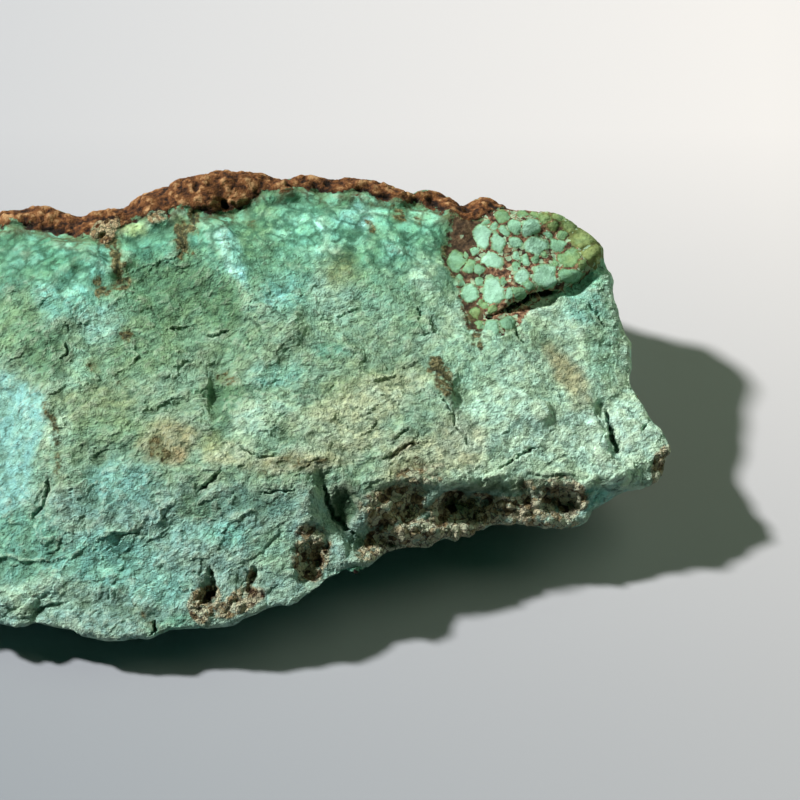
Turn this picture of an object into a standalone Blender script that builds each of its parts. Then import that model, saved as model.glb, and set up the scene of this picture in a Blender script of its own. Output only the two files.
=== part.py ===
"""A raw turquoise nugget: one broken slab of stone with a rough crust along its back and top edge.

Axes: X runs along the stone's length, Y away from the side that is usually looked at, Z up.
The stone rests on a small flat break in its underside, at Z = 0, and the origin is the middle of
its bounding box, at that level. Everything below is written in millimetres and made metres at the end.
"""

import itertools
import math

import bmesh
import bpy
import numpy as np

NAME = "turquoise_nugget"
MM = 0.001

# The direction from which the outline was measured: this many degrees above the table, along +Y.
LOOK_DOWN = math.radians(50.0)
SIN, COS = math.sin(LOOK_DOWN), math.cos(LOOK_DOWN)

# Lines that run along the stone from its left end to its right end. Those in SEEN_RAILS are read
# off the seen side, as (x, w, z): x along the stone, w up the view plane, z above the table.
SEEN_RAILS = {
    # the skyline, along the top of the crust
    "crest": [
        (-29.2, 11.4, 7.0), (-27.0, 13.4, 8.6), (-24.0, 14.9, 10.0), (-20.5, 15.3, 10.8), (-18.0, 15.8, 11.2),
        (-16.0, 16.2, 11.5), (-14.2, 15.7, 11.8), (-12.2, 15.5, 12.0), (-10.2, 16.3, 12.4), (-8.7, 16.6, 12.6),
        (-7.2, 17.4, 13.0), (-5.0, 17.9, 13.3), (-2.5, 18.4, 13.5), (-0.5, 18.7, 13.5), (1.4, 18.5, 13.4),
        (2.9, 18.0, 13.2), (5.0, 18.6, 13.1), (7.1, 18.2, 12.9), (8.4, 18.5, 12.8), (9.8, 18.3, 12.7),
        (11.8, 17.6, 12.5), (12.3, 17.3, 12.4), (14.0, 17.6, 12.2), (16.0, 17.2, 12.0), (16.4, 16.2, 11.8),
        (17.4, 16.8, 11.8), (18.6, 17.1, 11.7), (19.8, 16.5, 11.5), (21.2, 15.9, 11.3), (23.8, 15.6, 11.0),
        (25.2, 14.9, 10.6), (26.5, 14.1, 10.3), (27.2, 13.2, 10.1),
    ],
    # where the crust ends and the broken turquoise face begins
    "crust_edge": [
        (-30.0, 9.4, 7.3), (-25.5, 12.0, 10.2), (-18.0, 14.2, 12.2), (-13.9, 13.9, 12.6), (-10.5, 13.5, 12.9),
        (-4.1, 15.4, 13.8), (1.9, 16.8, 13.9), (8.2, 16.9, 13.4), (15.0, 16.1, 12.6), (21.8, 13.9, 12.1),
        (26.0, 12.9, 11.3), (28.0, 11.4, 10.2),
    ],
    "upper_face": [
        (-30.9, 5.2, 6.0), (-25.9, 6.6, 8.6), (-18.0, 6.8, 11.1), (-13.9, 7.5, 11.8), (-10.5, 6.0, 11.4),
        (-4.1, 6.0, 11.3), (1.9, 6.4, 11.7), (8.2, 6.8, 11.6), (15.0, 6.8, 11.2), (21.8, 6.0, 10.6),
        (26.5, 6.6, 9.9), (29.3, 6.3, 8.6),
    ],
    "face_foot": [
        (-31.4, 1.5, 4.8), (-25.9, 1.5, 6.3), (-18.0, 1.5, 8.9), (-14.1, 1.5, 10.8), (-10.5, 1.4, 10.6),
        (-4.1, 0.4, 10.5), (1.9, 0.4, 10.7), (8.2, 0.8, 10.6), (15.0, 0.8, 10.0), (22.5, 0.4, 9.1),
        (27.0, 0.9, 8.6), (29.6, 2.6, 8.1),
    ],
    "above_ridge": [
        (-31.5, -0.3, 4.4), (-25.9, -1.0, 5.8), (-18.0, -1.0, 8.2), (-14.0, -1.0, 10.2), (-10.5, -0.8, 10.1),
        (-4.1, -2.4, 9.9), (1.9, -2.4, 10.1), (8.2, -1.8, 10.0), (15.0, -2.0, 9.4), (23.0, -2.0, 8.3),
        (27.6, -1.4, 8.0), (30.3, 0.2, 8.0),
    ],
    # the convex break between the upper face and the lower one
    "ridge": [
        (-31.4, -1.9, 4.1), (-25.9, -3.4, 5.2), (-18.0, -3.4, 7.4), (-13.5, -3.4, 9.4), (-10.5, -2.6, 9.3),
        (-6.0, -4.2, 9.2), (-2.5, -5.3, 9.1), (1.9, -5.1, 9.3), (5.0, -4.9, 9.4), (8.2, -4.3, 9.4),
        (11.0, -4.3, 9.3), (15.0, -4.7, 8.7), (19.0, -4.4, 8.1), (23.5, -4.4, 7.5), (26.0, -4.6, 7.3),
        (29.0, -4.0, 7.4), (32.3, -1.6, 7.8),
    ],
    "lower_face": [
        (-30.8, -5.2, 3.6), (-25.5, -8.2, 4.1), (-18.0, -9.4, 5.3), (-14.2, -9.4, 6.1), (-10.5, -9.8, 6.0),
        (-3.8, -10.5, 6.2), (1.9, -9.8, 6.9), (8.2, -7.9, 7.5), (15.0, -6.9, 6.7), (23.2, -6.2, 6.1),
        (27.5, -5.6, 6.1), (32.4, -2.9, 7.3),
    ],
    # the lower outline, a thin edge that hangs over the table
    "lip": [
        (-30.0, -7.6, 3.4), (-28.2, -10.4, 3.2), (-24.6, -13.4, 3.3), (-21.0, -15.0, 3.6), (-18.0, -15.2, 3.6),
        (-14.0, -15.4, 3.3), (-10.5, -16.0, 3.1), (-8.3, -16.4, 3.0), (-6.2, -15.9, 3.2), (-3.0, -15.8, 3.4),
        (-0.4, -15.2, 3.9), (2.0, -14.0, 4.6), (4.3, -13.7, 4.8), (6.2, -12.6, 5.4), (7.4, -11.6, 5.6),
        (9.4, -11.0, 5.6), (11.3, -9.9, 5.3), (14.0, -9.6, 4.8), (16.8, -8.5, 5.1), (19.2, -8.0, 4.9),
        (22.0, -7.6, 4.8), (23.1, -8.1, 4.6), (25.6, -7.9, 4.4), (26.6, -6.9, 4.6), (29.0, -5.6, 5.4),
        (31.0, -5.1, 6.0), (32.1, -4.3, 6.8),
    ],
}
# The hidden side, as (x, y, z).
HIDDEN_RAILS = {
    "under_lip": [
        (-29.4, -9.8, 2.0), (-25.0, -17.0, 1.8), (-18.0, -20.0, 1.6), (-10.5, -20.4, 1.4), (-3.8, -20.0, 1.5),
        (1.9, -18.6, 2.2), (8.2, -15.8, 2.9), (15.0, -13.4, 2.9), (23.1, -11.4, 3.1), (31.2, -9.2, 5.0),
    ],
    "front_foot": [
        (-27.5, -7.5, 1.6), (-22.5, -11.5, 1.0), (-18.0, -13.5, 0.6), (-10.5, -14.5, 0.2), (-3.8, -14.0, 0.1),
        (1.9, -12.0, 0.2), (8.2, -9.4, 0.6), (15.0, -6.8, 1.0), (22.9, -5.6, 2.0), (29.2, -6.2, 4.5),
    ],
    "middle_foot": [
        (-26.8, -3.0, 1.5), (-22.5, -3.4, 0.7), (-18.0, -3.6, 0.1), (-10.5, -3.8, -0.4), (-3.8, -3.4, -0.5),
        (1.9, -2.6, -0.5), (8.2, -1.8, -0.2), (15.0, -1.2, 0.6), (21.8, -1.6, 1.9), (27.4, -3.4, 4.2),
    ],
    "back_foot": [
        (-26.6, 1.5, 1.7), (-22.5, 4.4, 1.1), (-18.0, 5.6, 0.7), (-10.5, 6.2, 0.4), (-3.8, 6.8, 0.3),
        (1.9, 7.0, 0.3), (8.2, 6.6, 0.5), (15.0, 5.6, 1.2), (21.8, 3.2, 2.3), (26.0, 0.0, 4.4),
    ],
    "back_low": [
        (-27.6, 3.4, 2.4), (-23.0, 8.2, 2.0), (-18.0, 10.4, 2.2), (-10.5, 10.2, 2.6), (-3.8, 12.0, 2.8),
        (1.9, 12.2, 2.9), (8.2, 12.4, 2.4), (15.0, 11.4, 2.6), (21.8, 9.0, 3.2), (26.4, 4.4, 4.9),
    ],
    "back": [
        (-28.5, 4.5, 4.1), (-24.4, 10.1, 4.9), (-18.0, 12.6, 6.0), (-10.5, 12.5, 6.8), (-3.8, 14.2, 7.1),
        (1.9, 14.8, 7.1), (8.2, 15.0, 6.8), (15.0, 14.2, 6.4), (21.8, 12.0, 6.3), (26.6, 7.6, 6.7),
    ],
}

# Broken relief on the seen side, as lines of (x, w) with a depth or rise and a half width.
GROOVES = {
    "slit": (0.85, 0.36, [(27.2, 1.3), (27.5, -0.2), (28.0, -1.5), (28.3, -2.6)]),
    "hollow": (1.00, 3.00, [(-7.4, 12.2), (-5.6, 10.0), (-3.6, 7.4), (-1.8, 4.8)]),
    "left_hollow": (0.35, 2.20, [(-10.6, 6.0), (-8.4, 3.6), (-5.2, 2.6)]),
    "stained_fold": (0.40, 0.90, [(-1.2, 5.4), (-1.6, 2.8), (-1.5, 0.6), (-0.2, -1.6)]),
    "step_in_face": (0.35, 0.80, [(-13.2, 3.6), (-13.3, 0.2), (-13.4, -2.8), (-14.3, -4.8), (-15.2, -7.2)]),
    "wedge": (1.10, 0.80, [(6.4, -4.6), (6.8, -6.4), (7.8, -7.8), (9.2, -9.2)]),
    "lower_fold": (0.40, 1.10, [(-1.4, -7.2), (-4.6, -7.8), (-7.4, -9.8), (-10.4, -10.4)]),
    "low_left_fold": (0.35, 0.90, [(-13.6, -9.8), (-16.0, -11.6), (-20.5, -11.8)]),
    "hem": (0.50, 0.70, [(-5.8, -14.6), (-9.5, -13.4), (-13.6, -13.6), (-17.0, -14.4)]),
    "web_border": (0.35, 0.90, [(15.9, 14.0), (16.0, 11.6), (16.8, 9.6), (17.6, 8.0)]),
    "stained_corner": (0.40, 0.70, [(-10.6, 13.4), (-9.6, 11.0), (-10.8, 10.4)]),
}
RIBS = {
    "streak": (0.50, 1.10, [(-2.2, 14.0), (-0.7, 11.9), (1.4, 9.0), (3.4, 6.8)]),
    "pale_block": (0.35, 1.60, [(0.4, 1.0), (3.0, 0.2), (6.0, -2.2)]),
    "right_shoulder": (0.35, 2.00, [(19.0, 3.6), (22.5, 0.6), (26.0, -1.6)]),
    "crust_lump": (0.60, 1.40, [(-6.0, 16.6), (-3.4, 17.4), (-0.6, 17.6)]),
}
# The nodules at the right end end in a ledge, with a split under it that narrows to both ends.
LEDGE = [(18.6, 7.7), (20.6, 8.5), (22.5, 9.2), (24.4, 9.7), (25.4, 10.2), (26.4, 10.9), (28.3, 12.4)]
LEDGE_RISE = 0.60
LEDGE_BACK = 3.6
SPLIT_DEPTH = 1.30
SPLIT_HALF_WIDTH = 0.36
# The crust stands a little above the face, behind a shallow groove.
CRUST_FOOT_DEPTH = 0.40
CRUST_FOOT_HALF_WIDTH = 0.60
# Pits in the dark, crumbly part of the lower face: (x, w, radius, depth).
PITS = [
    (16.7, -6.4, 1.5, 1.50), (18.5, -6.0, 1.0, 0.80), (10.3, -8.7, 1.6, 1.00), (12.6, -7.0, 1.0, 0.60),
    (5.8, -10.6, 1.7, 0.85), (24.0, -6.3, 1.3, 0.70), (21.4, -5.8, 0.9, 0.50), (-2.1, -12.4, 0.9, 0.70),
    (1.1, -12.0, 0.7, 0.60), (31.8, -3.4, 0.7, 0.45), (8.0, -6.6, 0.9, 0.50),
]

RINGS = 130  # cross-sections along the stone
STEPS = 6  # points from one rail to the next
BLANK_GRAIN = 0.40  # size of the faces that the relief is cut into
CUT_GRAIN = 0.34  # the same, once it is cut
TRIANGLES = 9700  # left after the flat parts are thinned out
REST_LEVEL = 0.30  # what would lie under this height is broken off flat, and the stone rests there
UNDERSIDE_EXTRA = 0.6  # how much rougher the hidden underside is than the seen break
EDGE_RELIEF = 0.35  # share of the relief that is left where the outline was measured

GRADIENTS = np.random.default_rng(11).normal(size=(256, 3))
GRADIENTS /= np.linalg.norm(GRADIENTS, axis=1, keepdims=True)
SCATTER = np.random.default_rng(12).random((256, 3))


def look_up(cells, seed):
    """A number from 0 to 255 for each whole-numbered cell, the same each time."""
    x, y, z = cells.astype(np.int64).T
    mixed = (x * 73856093) ^ (y * 19349663) ^ (z * 83492791) ^ (seed * 2654435761)
    return ((mixed ^ (mixed >> 13)) * 1274126177 >> 7) & 255


def noise(points, size, seed):
    """Smooth noise from about -1 to 1, with lumps of the given size."""
    scaled = points / size
    base = np.floor(scaled)
    part = scaled - base
    fade = part**3 * (part * (part * 6 - 15) + 10)
    total = np.zeros(len(points))
    for corner in itertools.product((0, 1), repeat=3):
        gradient = GRADIENTS[look_up(base + corner, seed)]
        share = np.prod(np.where(corner, fade, 1 - fade), axis=1)
        total += share * np.einsum("ij,ij->i", gradient, part - corner)
    return total * 1.6


def chips(points, size, seed):
    """Flat chips, each tilted its own way, and how far each point is from the middle of its chip."""
    scaled = points / size
    base = np.floor(scaled)
    nearest = np.full(len(points), 9.0)
    height = np.zeros(len(points))
    for corner in itertools.product((-1, 0, 1), repeat=3):
        index = look_up(base + corner, seed)
        away = scaled - (base + corner + SCATTER[index])
        distance = np.linalg.norm(away, axis=1)
        tilted = np.einsum("ij,ij->i", GRADIENTS[255 - index], away) + SCATTER[index, 0] - 0.5
        closer = distance < nearest
        height = np.where(closer, tilted, height)
        nearest = np.where(closer, distance, nearest)
    return height, nearest


def line_distance(flat, line):
    """Distance of each (x, w) from a line of points."""
    best = np.full(len(flat), 1e9)
    corners = np.array(line, float)
    for start, end in zip(corners[:-1], corners[1:]):
        along = end - start
        t = np.clip((flat - start) @ along / (along @ along), 0, 1)
        best = np.minimum(best, np.linalg.norm(flat - start - t[:, None] * along, axis=1))
    return best


def smooth(x):
    """0 below 0, 1 above 1, and an even curve between."""
    x = np.clip(x, 0, 1)
    return x * x * (3 - 2 * x)


def rail_points(points, seen):
    """RINGS points spaced evenly in x along a rail, as rows of x, y and z."""
    x, second, z = np.array(points, float).T
    at = np.linspace(x[0], x[-1], RINGS)
    y = (second - z * COS) / SIN if seen else second
    return np.column_stack([at, np.interp(at, x, y), np.interp(at, x, z)])


def blank():
    """The stone before its relief: cross-sections joined into one closed skin."""
    rails = [rail_points(p, True) for p in SEEN_RAILS.values()]
    rails += [rail_points(p, False) for p in HIDDEN_RAILS.values()]
    loops = []
    for here, following in zip(rails, rails[1:] + rails[:1]):
        loops += [here + (following - here) * k / STEPS for k in range(STEPS)]
    skin = bmesh.new()
    rows = [[skin.verts.new(p) for p in loop] for loop in loops]
    for row, beyond in zip(rows, rows[1:] + rows[:1]):
        for k in range(RINGS - 1):
            skin.faces.new((row[k], row[k + 1], beyond[k + 1], beyond[k]))
    for k in (0, RINGS - 1):
        middle = skin.verts.new(sum((np.array(row[k].co) for row in rows), np.zeros(3)) / len(rows))
        for row, beyond in zip(rows, rows[1:] + rows[:1]):
            skin.faces.new((row[k], beyond[k], middle))
    bmesh.ops.recalc_face_normals(skin, faces=skin.faces)
    mesh = bpy.data.meshes.new(NAME)
    skin.to_mesh(mesh)
    skin.free()
    return mesh


def evaluated(obj):
    """A plain mesh of the object as its modifiers leave it, which are then removed."""
    graph = bpy.context.evaluated_depsgraph_get()
    mesh = bpy.data.meshes.new_from_object(obj.evaluated_get(graph))
    obj.modifiers.clear()
    obj.data = mesh
    return mesh


def places(mesh):
    """The vertices and their normals, as rows."""
    points = np.empty(len(mesh.vertices) * 3, np.float32)
    normals = np.empty(len(mesh.vertices) * 3, np.float32)
    mesh.vertices.foreach_get("co", points)
    mesh.vertex_normals.foreach_get("vector", normals)
    return points.reshape(-1, 3).astype(float), normals.reshape(-1, 3).astype(float)


def crust_share(points, normals):
    """1 on the crust, which covers the back and the skyline, and 0 on broken stone."""
    w = points[:, 1] * SIN + points[:, 2] * COS
    edge = np.array(SEEN_RAILS["crust_edge"])
    above = w - np.interp(points[:, 0], edge[:, 0], edge[:, 1])
    turned_away = normals[:, 1] * 2.5 + 0.2
    under = smooth(-normals[:, 2] * 2 - 0.6)
    return smooth(np.maximum(above + 0.3, turned_away)) * (1 - under)


def ledge(flat):
    """The step at the foot of the nodules, and the split under it."""
    distance = line_distance(flat, LEDGE)
    line = np.array(LEDGE)
    above = flat[:, 1] > np.interp(flat[:, 0], line[:, 0], line[:, 1])
    along = smooth((flat[:, 0] - line[0, 0]) / 2.0) * smooth((line[-1, 0] + 1.5 - flat[:, 0]) / 2.0)
    step = LEDGE_RISE * along * np.where(above, smooth(1 - distance / LEDGE_BACK), 0)
    return step - SPLIT_DEPTH * along * smooth(1 - distance / SPLIT_HALF_WIDTH / 1.6)


def seen_relief(points, normals):
    """The named ledges, grooves, ribs and pits of the seen side, as a height."""
    flat = np.column_stack([points[:, 0], points[:, 1] * SIN + points[:, 2] * COS])
    flat[:, 0] += 0.25 * noise(points, 1.4, 31)
    flat[:, 1] += 0.25 * noise(points, 1.4, 32)
    height = ledge(flat)
    foot = [point[:2] for point in SEEN_RAILS["crust_edge"] if point[0] < 20]
    height -= CRUST_FOOT_DEPTH * smooth(1 - line_distance(flat, foot) / CRUST_FOOT_HALF_WIDTH / 1.6)
    for depth, half_width, line in GROOVES.values():
        height -= depth * smooth(1 - line_distance(flat, line) / half_width / 1.6)
    for rise, half_width, line in RIBS.values():
        height += rise * smooth(1 - line_distance(flat, line) / half_width / 1.6)
    for x, w, radius, depth in PITS:
        height -= depth * smooth(1.25 - np.hypot(flat[:, 0] - x, flat[:, 1] - w) / radius)
    return height


def relief(points, normals):
    """How far each point of the blank moves out along its normal."""
    crust = crust_share(points, normals)
    warp = np.column_stack([noise(points, 4.0, seed) for seed in (1, 2, 3)]) * 1.2
    coarse, _ = chips(points + warp, 5.2, 4)
    fine, _ = chips(points + warp * 0.5, 2.6, 5)
    broken = 0.34 * coarse + 0.16 * fine + 0.22 * noise(points, 3.4, 6)
    _, from_middle = chips(points + warp * 0.6, 3.4, 8)
    lumpy = 0.55 - 0.9 * from_middle**2 + 0.35 * noise(points, 2.8, 9)
    facing = -normals[:, 1] * COS + normals[:, 2] * SIN
    calm = EDGE_RELIEF + (1 - EDGE_RELIEF) * smooth(np.abs(facing) * 2.5)
    calm *= 1 + UNDERSIDE_EXTRA * smooth(-normals[:, 2] * 2)
    return (broken * (1 - crust) + lumpy * crust) * calm + seen_relief(points, normals) * smooth(facing * 3)


def remeshed(obj, size):
    """The object's mesh with even faces of the given size."""
    even = obj.modifiers.new("even_faces", "REMESH")
    even.mode = "VOXEL"
    even.voxel_size = size
    return evaluated(obj)


def without_crumbs(obj):
    """Only the stone is kept, where cutting the relief leaves a crumb beside it."""
    skin = bmesh.new()
    skin.from_mesh(obj.data)
    waiting = dict.fromkeys(skin.verts)
    pieces = []
    while waiting:
        piece = [waiting.popitem()[0]]
        for vert in piece:
            for edge in vert.link_edges:
                beyond = edge.other_vert(vert)
                if beyond in waiting:
                    del waiting[beyond]
                    piece.append(beyond)
        pieces.append(piece)
    pieces.sort(key=len)
    crumbs = [vert for piece in pieces[:-1] for vert in piece]
    bmesh.ops.delete(skin, geom=crumbs, context="VERTS")
    skin.to_mesh(obj.data)
    skin.free()
    return obj.data


def cut_relief(obj):
    """Evens out the blank's faces, then moves them by the relief and breaks the underside off flat."""
    mesh = remeshed(obj, BLANK_GRAIN)
    points, normals = places(mesh)
    points += normals * relief(points, normals)[:, None]
    mesh.vertices.foreach_set("co", points.astype(np.float32).ravel())
    mesh.update()
    remeshed(obj, CUT_GRAIN)
    mesh = without_crumbs(obj)
    points, _ = places(mesh)
    points[:, 2] = np.maximum(points[:, 2], REST_LEVEL)
    mesh.vertices.foreach_set("co", points.astype(np.float32).ravel())
    mesh.update()


def thin_out(obj):
    """Fewer, larger faces where the stone is nearly flat, and the origin put under its middle, in metres."""
    fewer = obj.modifiers.new("fewer_faces", "DECIMATE")
    faces = sum(len(p.vertices) - 2 for p in obj.data.polygons)
    fewer.ratio = TRIANGLES / faces
    fewer.use_collapse_triangulate = True
    mesh = evaluated(obj)
    points, _ = places(mesh)
    points[:, 2] = np.where(points[:, 2] < REST_LEVEL + 0.01, REST_LEVEL, points[:, 2])
    low, high = points.min(axis=0), points.max(axis=0)
    origin = np.array([(low[0] + high[0]) / 2, (low[1] + high[1]) / 2, low[2]])
    points -= origin
    mesh.vertices.foreach_set("co", (points * MM).astype(np.float32).ravel())
    mesh.update()


def stone_material():
    material = bpy.data.materials.new("turquoise")
    material.use_nodes = True
    shader = material.node_tree.nodes["Principled BSDF"]
    shader.inputs["Base Color"].default_value = (0.26, 0.44, 0.33, 1)
    shader.inputs["Roughness"].default_value = 0.8
    shader.inputs["Metallic"].default_value = 0.0
    return material


def main():
    for obj in list(bpy.data.objects):
        bpy.data.objects.remove(obj)
    stone = bpy.data.objects.new(NAME, blank())
    bpy.context.scene.collection.objects.link(stone)
    cut_relief(stone)
    thin_out(stone)
    stone.data.materials.clear()
    stone.data.materials.append(stone_material())


main()
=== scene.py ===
"""A raw turquoise nugget: blue-green broken stone, a brown crust and a corner of brown-veined nodules.

The stone's fine surface is cut in code from the solid, and its colours are procedural nodes over a few
fields that are stored on its vertices. Lengths are in millimetres until the mesh is made, then metres.
"""

import itertools
import math

import bmesh
import bpy
import numpy as np
from mathutils import Matrix, Vector


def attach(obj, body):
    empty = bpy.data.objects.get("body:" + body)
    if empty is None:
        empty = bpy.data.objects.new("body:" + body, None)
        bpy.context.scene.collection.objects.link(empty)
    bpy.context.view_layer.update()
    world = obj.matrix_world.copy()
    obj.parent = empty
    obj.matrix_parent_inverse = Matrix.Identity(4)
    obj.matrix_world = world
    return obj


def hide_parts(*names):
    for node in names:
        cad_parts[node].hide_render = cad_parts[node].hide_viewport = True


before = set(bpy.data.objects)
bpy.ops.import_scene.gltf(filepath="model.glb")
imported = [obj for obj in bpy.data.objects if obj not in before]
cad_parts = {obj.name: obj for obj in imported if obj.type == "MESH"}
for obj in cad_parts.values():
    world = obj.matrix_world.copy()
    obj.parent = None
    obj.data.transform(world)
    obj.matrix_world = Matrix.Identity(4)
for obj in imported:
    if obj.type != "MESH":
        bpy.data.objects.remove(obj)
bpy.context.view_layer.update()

NODE = "turquoise_nugget"
MM = 0.001
# The solid's origin, in the numbers in which its outline was measured.
SOLID_ORIGIN = np.array([0.393, -4.135, 0.3])

# Where the camera stands: this many degrees above the table, looking along +Y.
LOOK_DOWN = math.radians(50.0)
SIN, COS = math.sin(LOOK_DOWN), math.cos(LOOK_DOWN)
LENS_MM = 180.0
SENSOR_MM = 36.0
# Places on the seen side are given as (u, v) in the 800 x 800 view: u to the right, v downwards.
UNIT = 0.075  # millimetres to one unit of the view
ZERO_U, ZERO_V = 240.0, 420.0
VIEW_MIDDLE = 400.0
TARGET_HEIGHT = 9.0  # of the point that the camera looks at

# The mesh.
FINE_GRAIN = 0.155  # size of the faces that the fine relief is cut into, in mm
TRIANGLES = 196000
SEEN_SIDE_FIRST = 0.01  # how much more of the faces the seen side keeps
SMOOTH_ABOVE = 0.45  # share of grains, facet or veined corner from which a face is shaded smoothly

# The fine relief, in mm.
COARSE_CHIPS, MIDDLE_CHIPS, FINE_CHIPS, CHIP_GAPS = 0.10, 0.075, 0.044, 0.04
BIG_LUMPS, SMALL_LUMPS, CRUST_PITS = 0.16, 0.11, 0.30
BIG_CRUMBS, SMALL_CRUMBS, CRUMB_PITS = 0.30, 0.15, 0.15
NODULE_DOMES, CRUST_STEP, HOLE_DEPTH = 0.085, 0.10, 0.22
GRAIN_TURN, DASH_TURN = 36, 22  # degrees by which the flakes and the short cracks rise to the right

# The stage, in metres, and its lights, in watts.
TO_LIGHT = Vector((-0.70, 0.28, 0.665)).normalized()
TO_FILL = Vector((0.66, 0.37, 0.65)).normalized()
LIGHT_DISTANCE = 0.9
KEY_SIZE, KEY_POWER, KEY_COLOUR = 0.085, 13.9, (1.0, 0.985, 0.96)
FILL_SIZE, FILL_POWER, FILL_COLOUR = 0.8, 2.2, (0.88, 1.0, 0.74)
AROUND_COLOUR, AROUND_STRENGTH = (0.20, 1.0, 0.5, 1), 0.030
FLOOR_REACH = 1.5
FLOOR_LEVEL = -0.00003
# The floor's two paper colours, between which its painted light falls off.
FLOOR_COOL, FLOOR_WARM = (0.53, 0.575, 0.655, 1), (0.64, 0.607, 0.62, 1)

# How dull the surfaces are.
STONE_ROUGHNESS, STONE_SPECULAR = 0.84, 0.28
FLOOR_ROUGHNESS, FLOOR_SPECULAR = 0.7, 0.2

GRADIENTS = np.random.default_rng(21).normal(size=(256, 3))
GRADIENTS /= np.linalg.norm(GRADIENTS, axis=1, keepdims=True)
SCATTER = np.random.default_rng(22).random((256, 3))

# Places on the seen side.

# Where the kind of surface or its broad tone changes: (u or v, over how long a stretch).
LOW_PART, LOW_TONE, MIDDLE_TONE = (470, 30), (478, 20), (250, 90)
RIGHT_TONE, RIGHT_TONE_TOP = (400, 90), (250, 60)
# The rounded grains under the crust end here, and reach this far below it: (u, reach).
GRAINS_END, GRAINS_FADE = 540, 60
GRAINS_REACH = [(-60, 50), (60, 62), (180, 30), (250, 64), (330, 88), (460, 80)]
# The calmer face at the right: (u, v, half length, half height, turn in degrees).
CALM_FACE = (520, 385, 110, 75, 30)
UPPER_HALF = 300  # a swell above this v lifts the upper side, and one below it the near side

# Foot of the brown crust, from left to right.
CRUST_FOOT = [
    (-200, 300), (-150, 282), (-110, 262), (-70, 244), (-30, 228), (0, 220), (20, 220), (38, 226), (55, 231),
    (72, 235), (88, 236), (100, 233), (112, 226), (122, 218), (138, 213), (150, 209), (162, 212), (176, 202),
    (190, 206), (205, 208), (220, 212), (236, 208), (246, 197), (262, 186), (280, 187), (300, 183), (320, 188),
    (345, 187), (362, 187), (378, 192), (392, 193), (404, 195), (418, 198), (436, 204), (452, 208), (462, 216),
    (480, 214), (498, 206), (508, 202), (520, 198), (560, 190), (700, 190),
]

# Cracks: (depth in mm, half width in view units, how dark, points).
CRACKS = {
    # Under the nodules the darkness is painted shadow, cast by the block above.
    "under_nodules": (0.70, 3.0, 1.0, [(500, 311), (512, 307), (522, 303), (530, 297), (546, 293), (562, 291)]),
    "under_nodules_right": (0.14, 3.0, 0.0, [(562, 290), (576, 287), (585, 281), (592, 272), (600, 264)]),
    "under_nodules_tip": (0.35, 1.6, 0.9, [(484, 318), (492, 314), (500, 311)]),
    "branch_below": (0.28, 1.1, 0.8, [(508, 316), (514, 324), (520, 335), (526, 346)]),
    "slit": (0.80, 1.9, 1.0, [(604, 408), (607, 418), (611, 428), (614, 440), (617, 454)]),
    "slit_middle": (0.45, 2.8, 0.7, [(609, 424), (612, 432), (614, 440)]),
    "nick": (0.35, 1.4, 0.9, [(645, 423), (645, 432)]),
    "dash_a": (0.22, 1.1, 0.8, [(165, 329), (180, 329), (197, 325)]),
    "dash_b": (0.24, 1.2, 0.8, [(205, 338), (216, 334), (229, 329)]),
    "crevice": (0.45, 2.2, 0.9, [(202, 491), (212, 481), (225, 469)]),
    "left_crack": (0.35, 1.7, 0.8, [(53, 478), (51, 492), (47, 505), (38, 514), (40, 521)]),
    "low_notch": (0.45, 2.4, 0.8, [(215, 560), (216, 574), (213, 588), (204, 601)]),
    "shelf_crack": (0.28, 1.3, 0.8, [(500, 468), (510, 461), (518, 455), (528, 451), (539, 449)]),
    "fissure": (0.30, 1.8, 0.8, [(379, 459), (391, 455), (401, 448), (411, 443), (421, 442)]),
    "fissure_up": (0.25, 1.3, 0.6, [(392, 441), (400, 433), (412, 428)]),
    "notch": (0.42, 2.1, 0.7, [(325, 482), (328, 500), (336, 514), (347, 525), (359, 535)]),
    "low_split": (0.45, 1.8, 0.9, [(161, 612), (161, 622), (158, 632)]),
    "left_dash": (0.30, 1.6, 0.8, [(66, 343), (67, 352), (61, 360)]),
    "hook": (0.26, 1.4, 0.8, [(417, 304), (421, 311), (420, 318)]),
    "shelf_left": (0.20, 1.5, 0.55, [(240, 445), (262, 456), (284, 453)]),
    "shelf_low": (0.18, 1.5, 0.5, [(262, 490), (280, 492), (297, 488)]),
    "shelf_mid": (0.20, 1.6, 0.6, [(300, 470), (312, 462), (326, 458)]),
    "fold_a": (0.14, 1.2, 0.5, [(330, 315), (350, 312), (364, 306)]),
    "fold_b": (0.16, 1.3, 0.55, [(328, 318), (329, 330)]),
    "grey_line": (0.14, 1.2, 0.5, [(255, 322), (259, 334)]),
    "small_a": (0.20, 1.3, 0.7, [(134, 362), (140, 356)]),
    "small_b": (0.18, 1.2, 0.6, [(174, 372), (186, 364), (194, 360)]),
    "lip_line": (0.18, 1.5, 0.5, [(592, 300), (602, 316), (608, 326)]),
    "line_c": (0.16, 1.1, 0.6, [(452, 410), (456, 424), (464, 434), (470, 446)]),
    "line_d": (0.14, 1.0, 0.6, [(438, 392), (446, 404), (452, 414)]),
    "vein_dark": (0.12, 2.6, 0.8, [(190, 203), (191, 214), (189, 224)]),
    "vein_mid_dark": (0.10, 2.8, 0.7, [(171, 226), (177, 236), (183, 248)]),
    "vein_top_dark": (0.12, 2.2, 0.7, [(106, 238), (112, 248), (115, 262), (119, 276)]),
    "thin_left": (0.12, 1.0, 0.5, [(64, 322), (66, 334)]),
}
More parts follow.
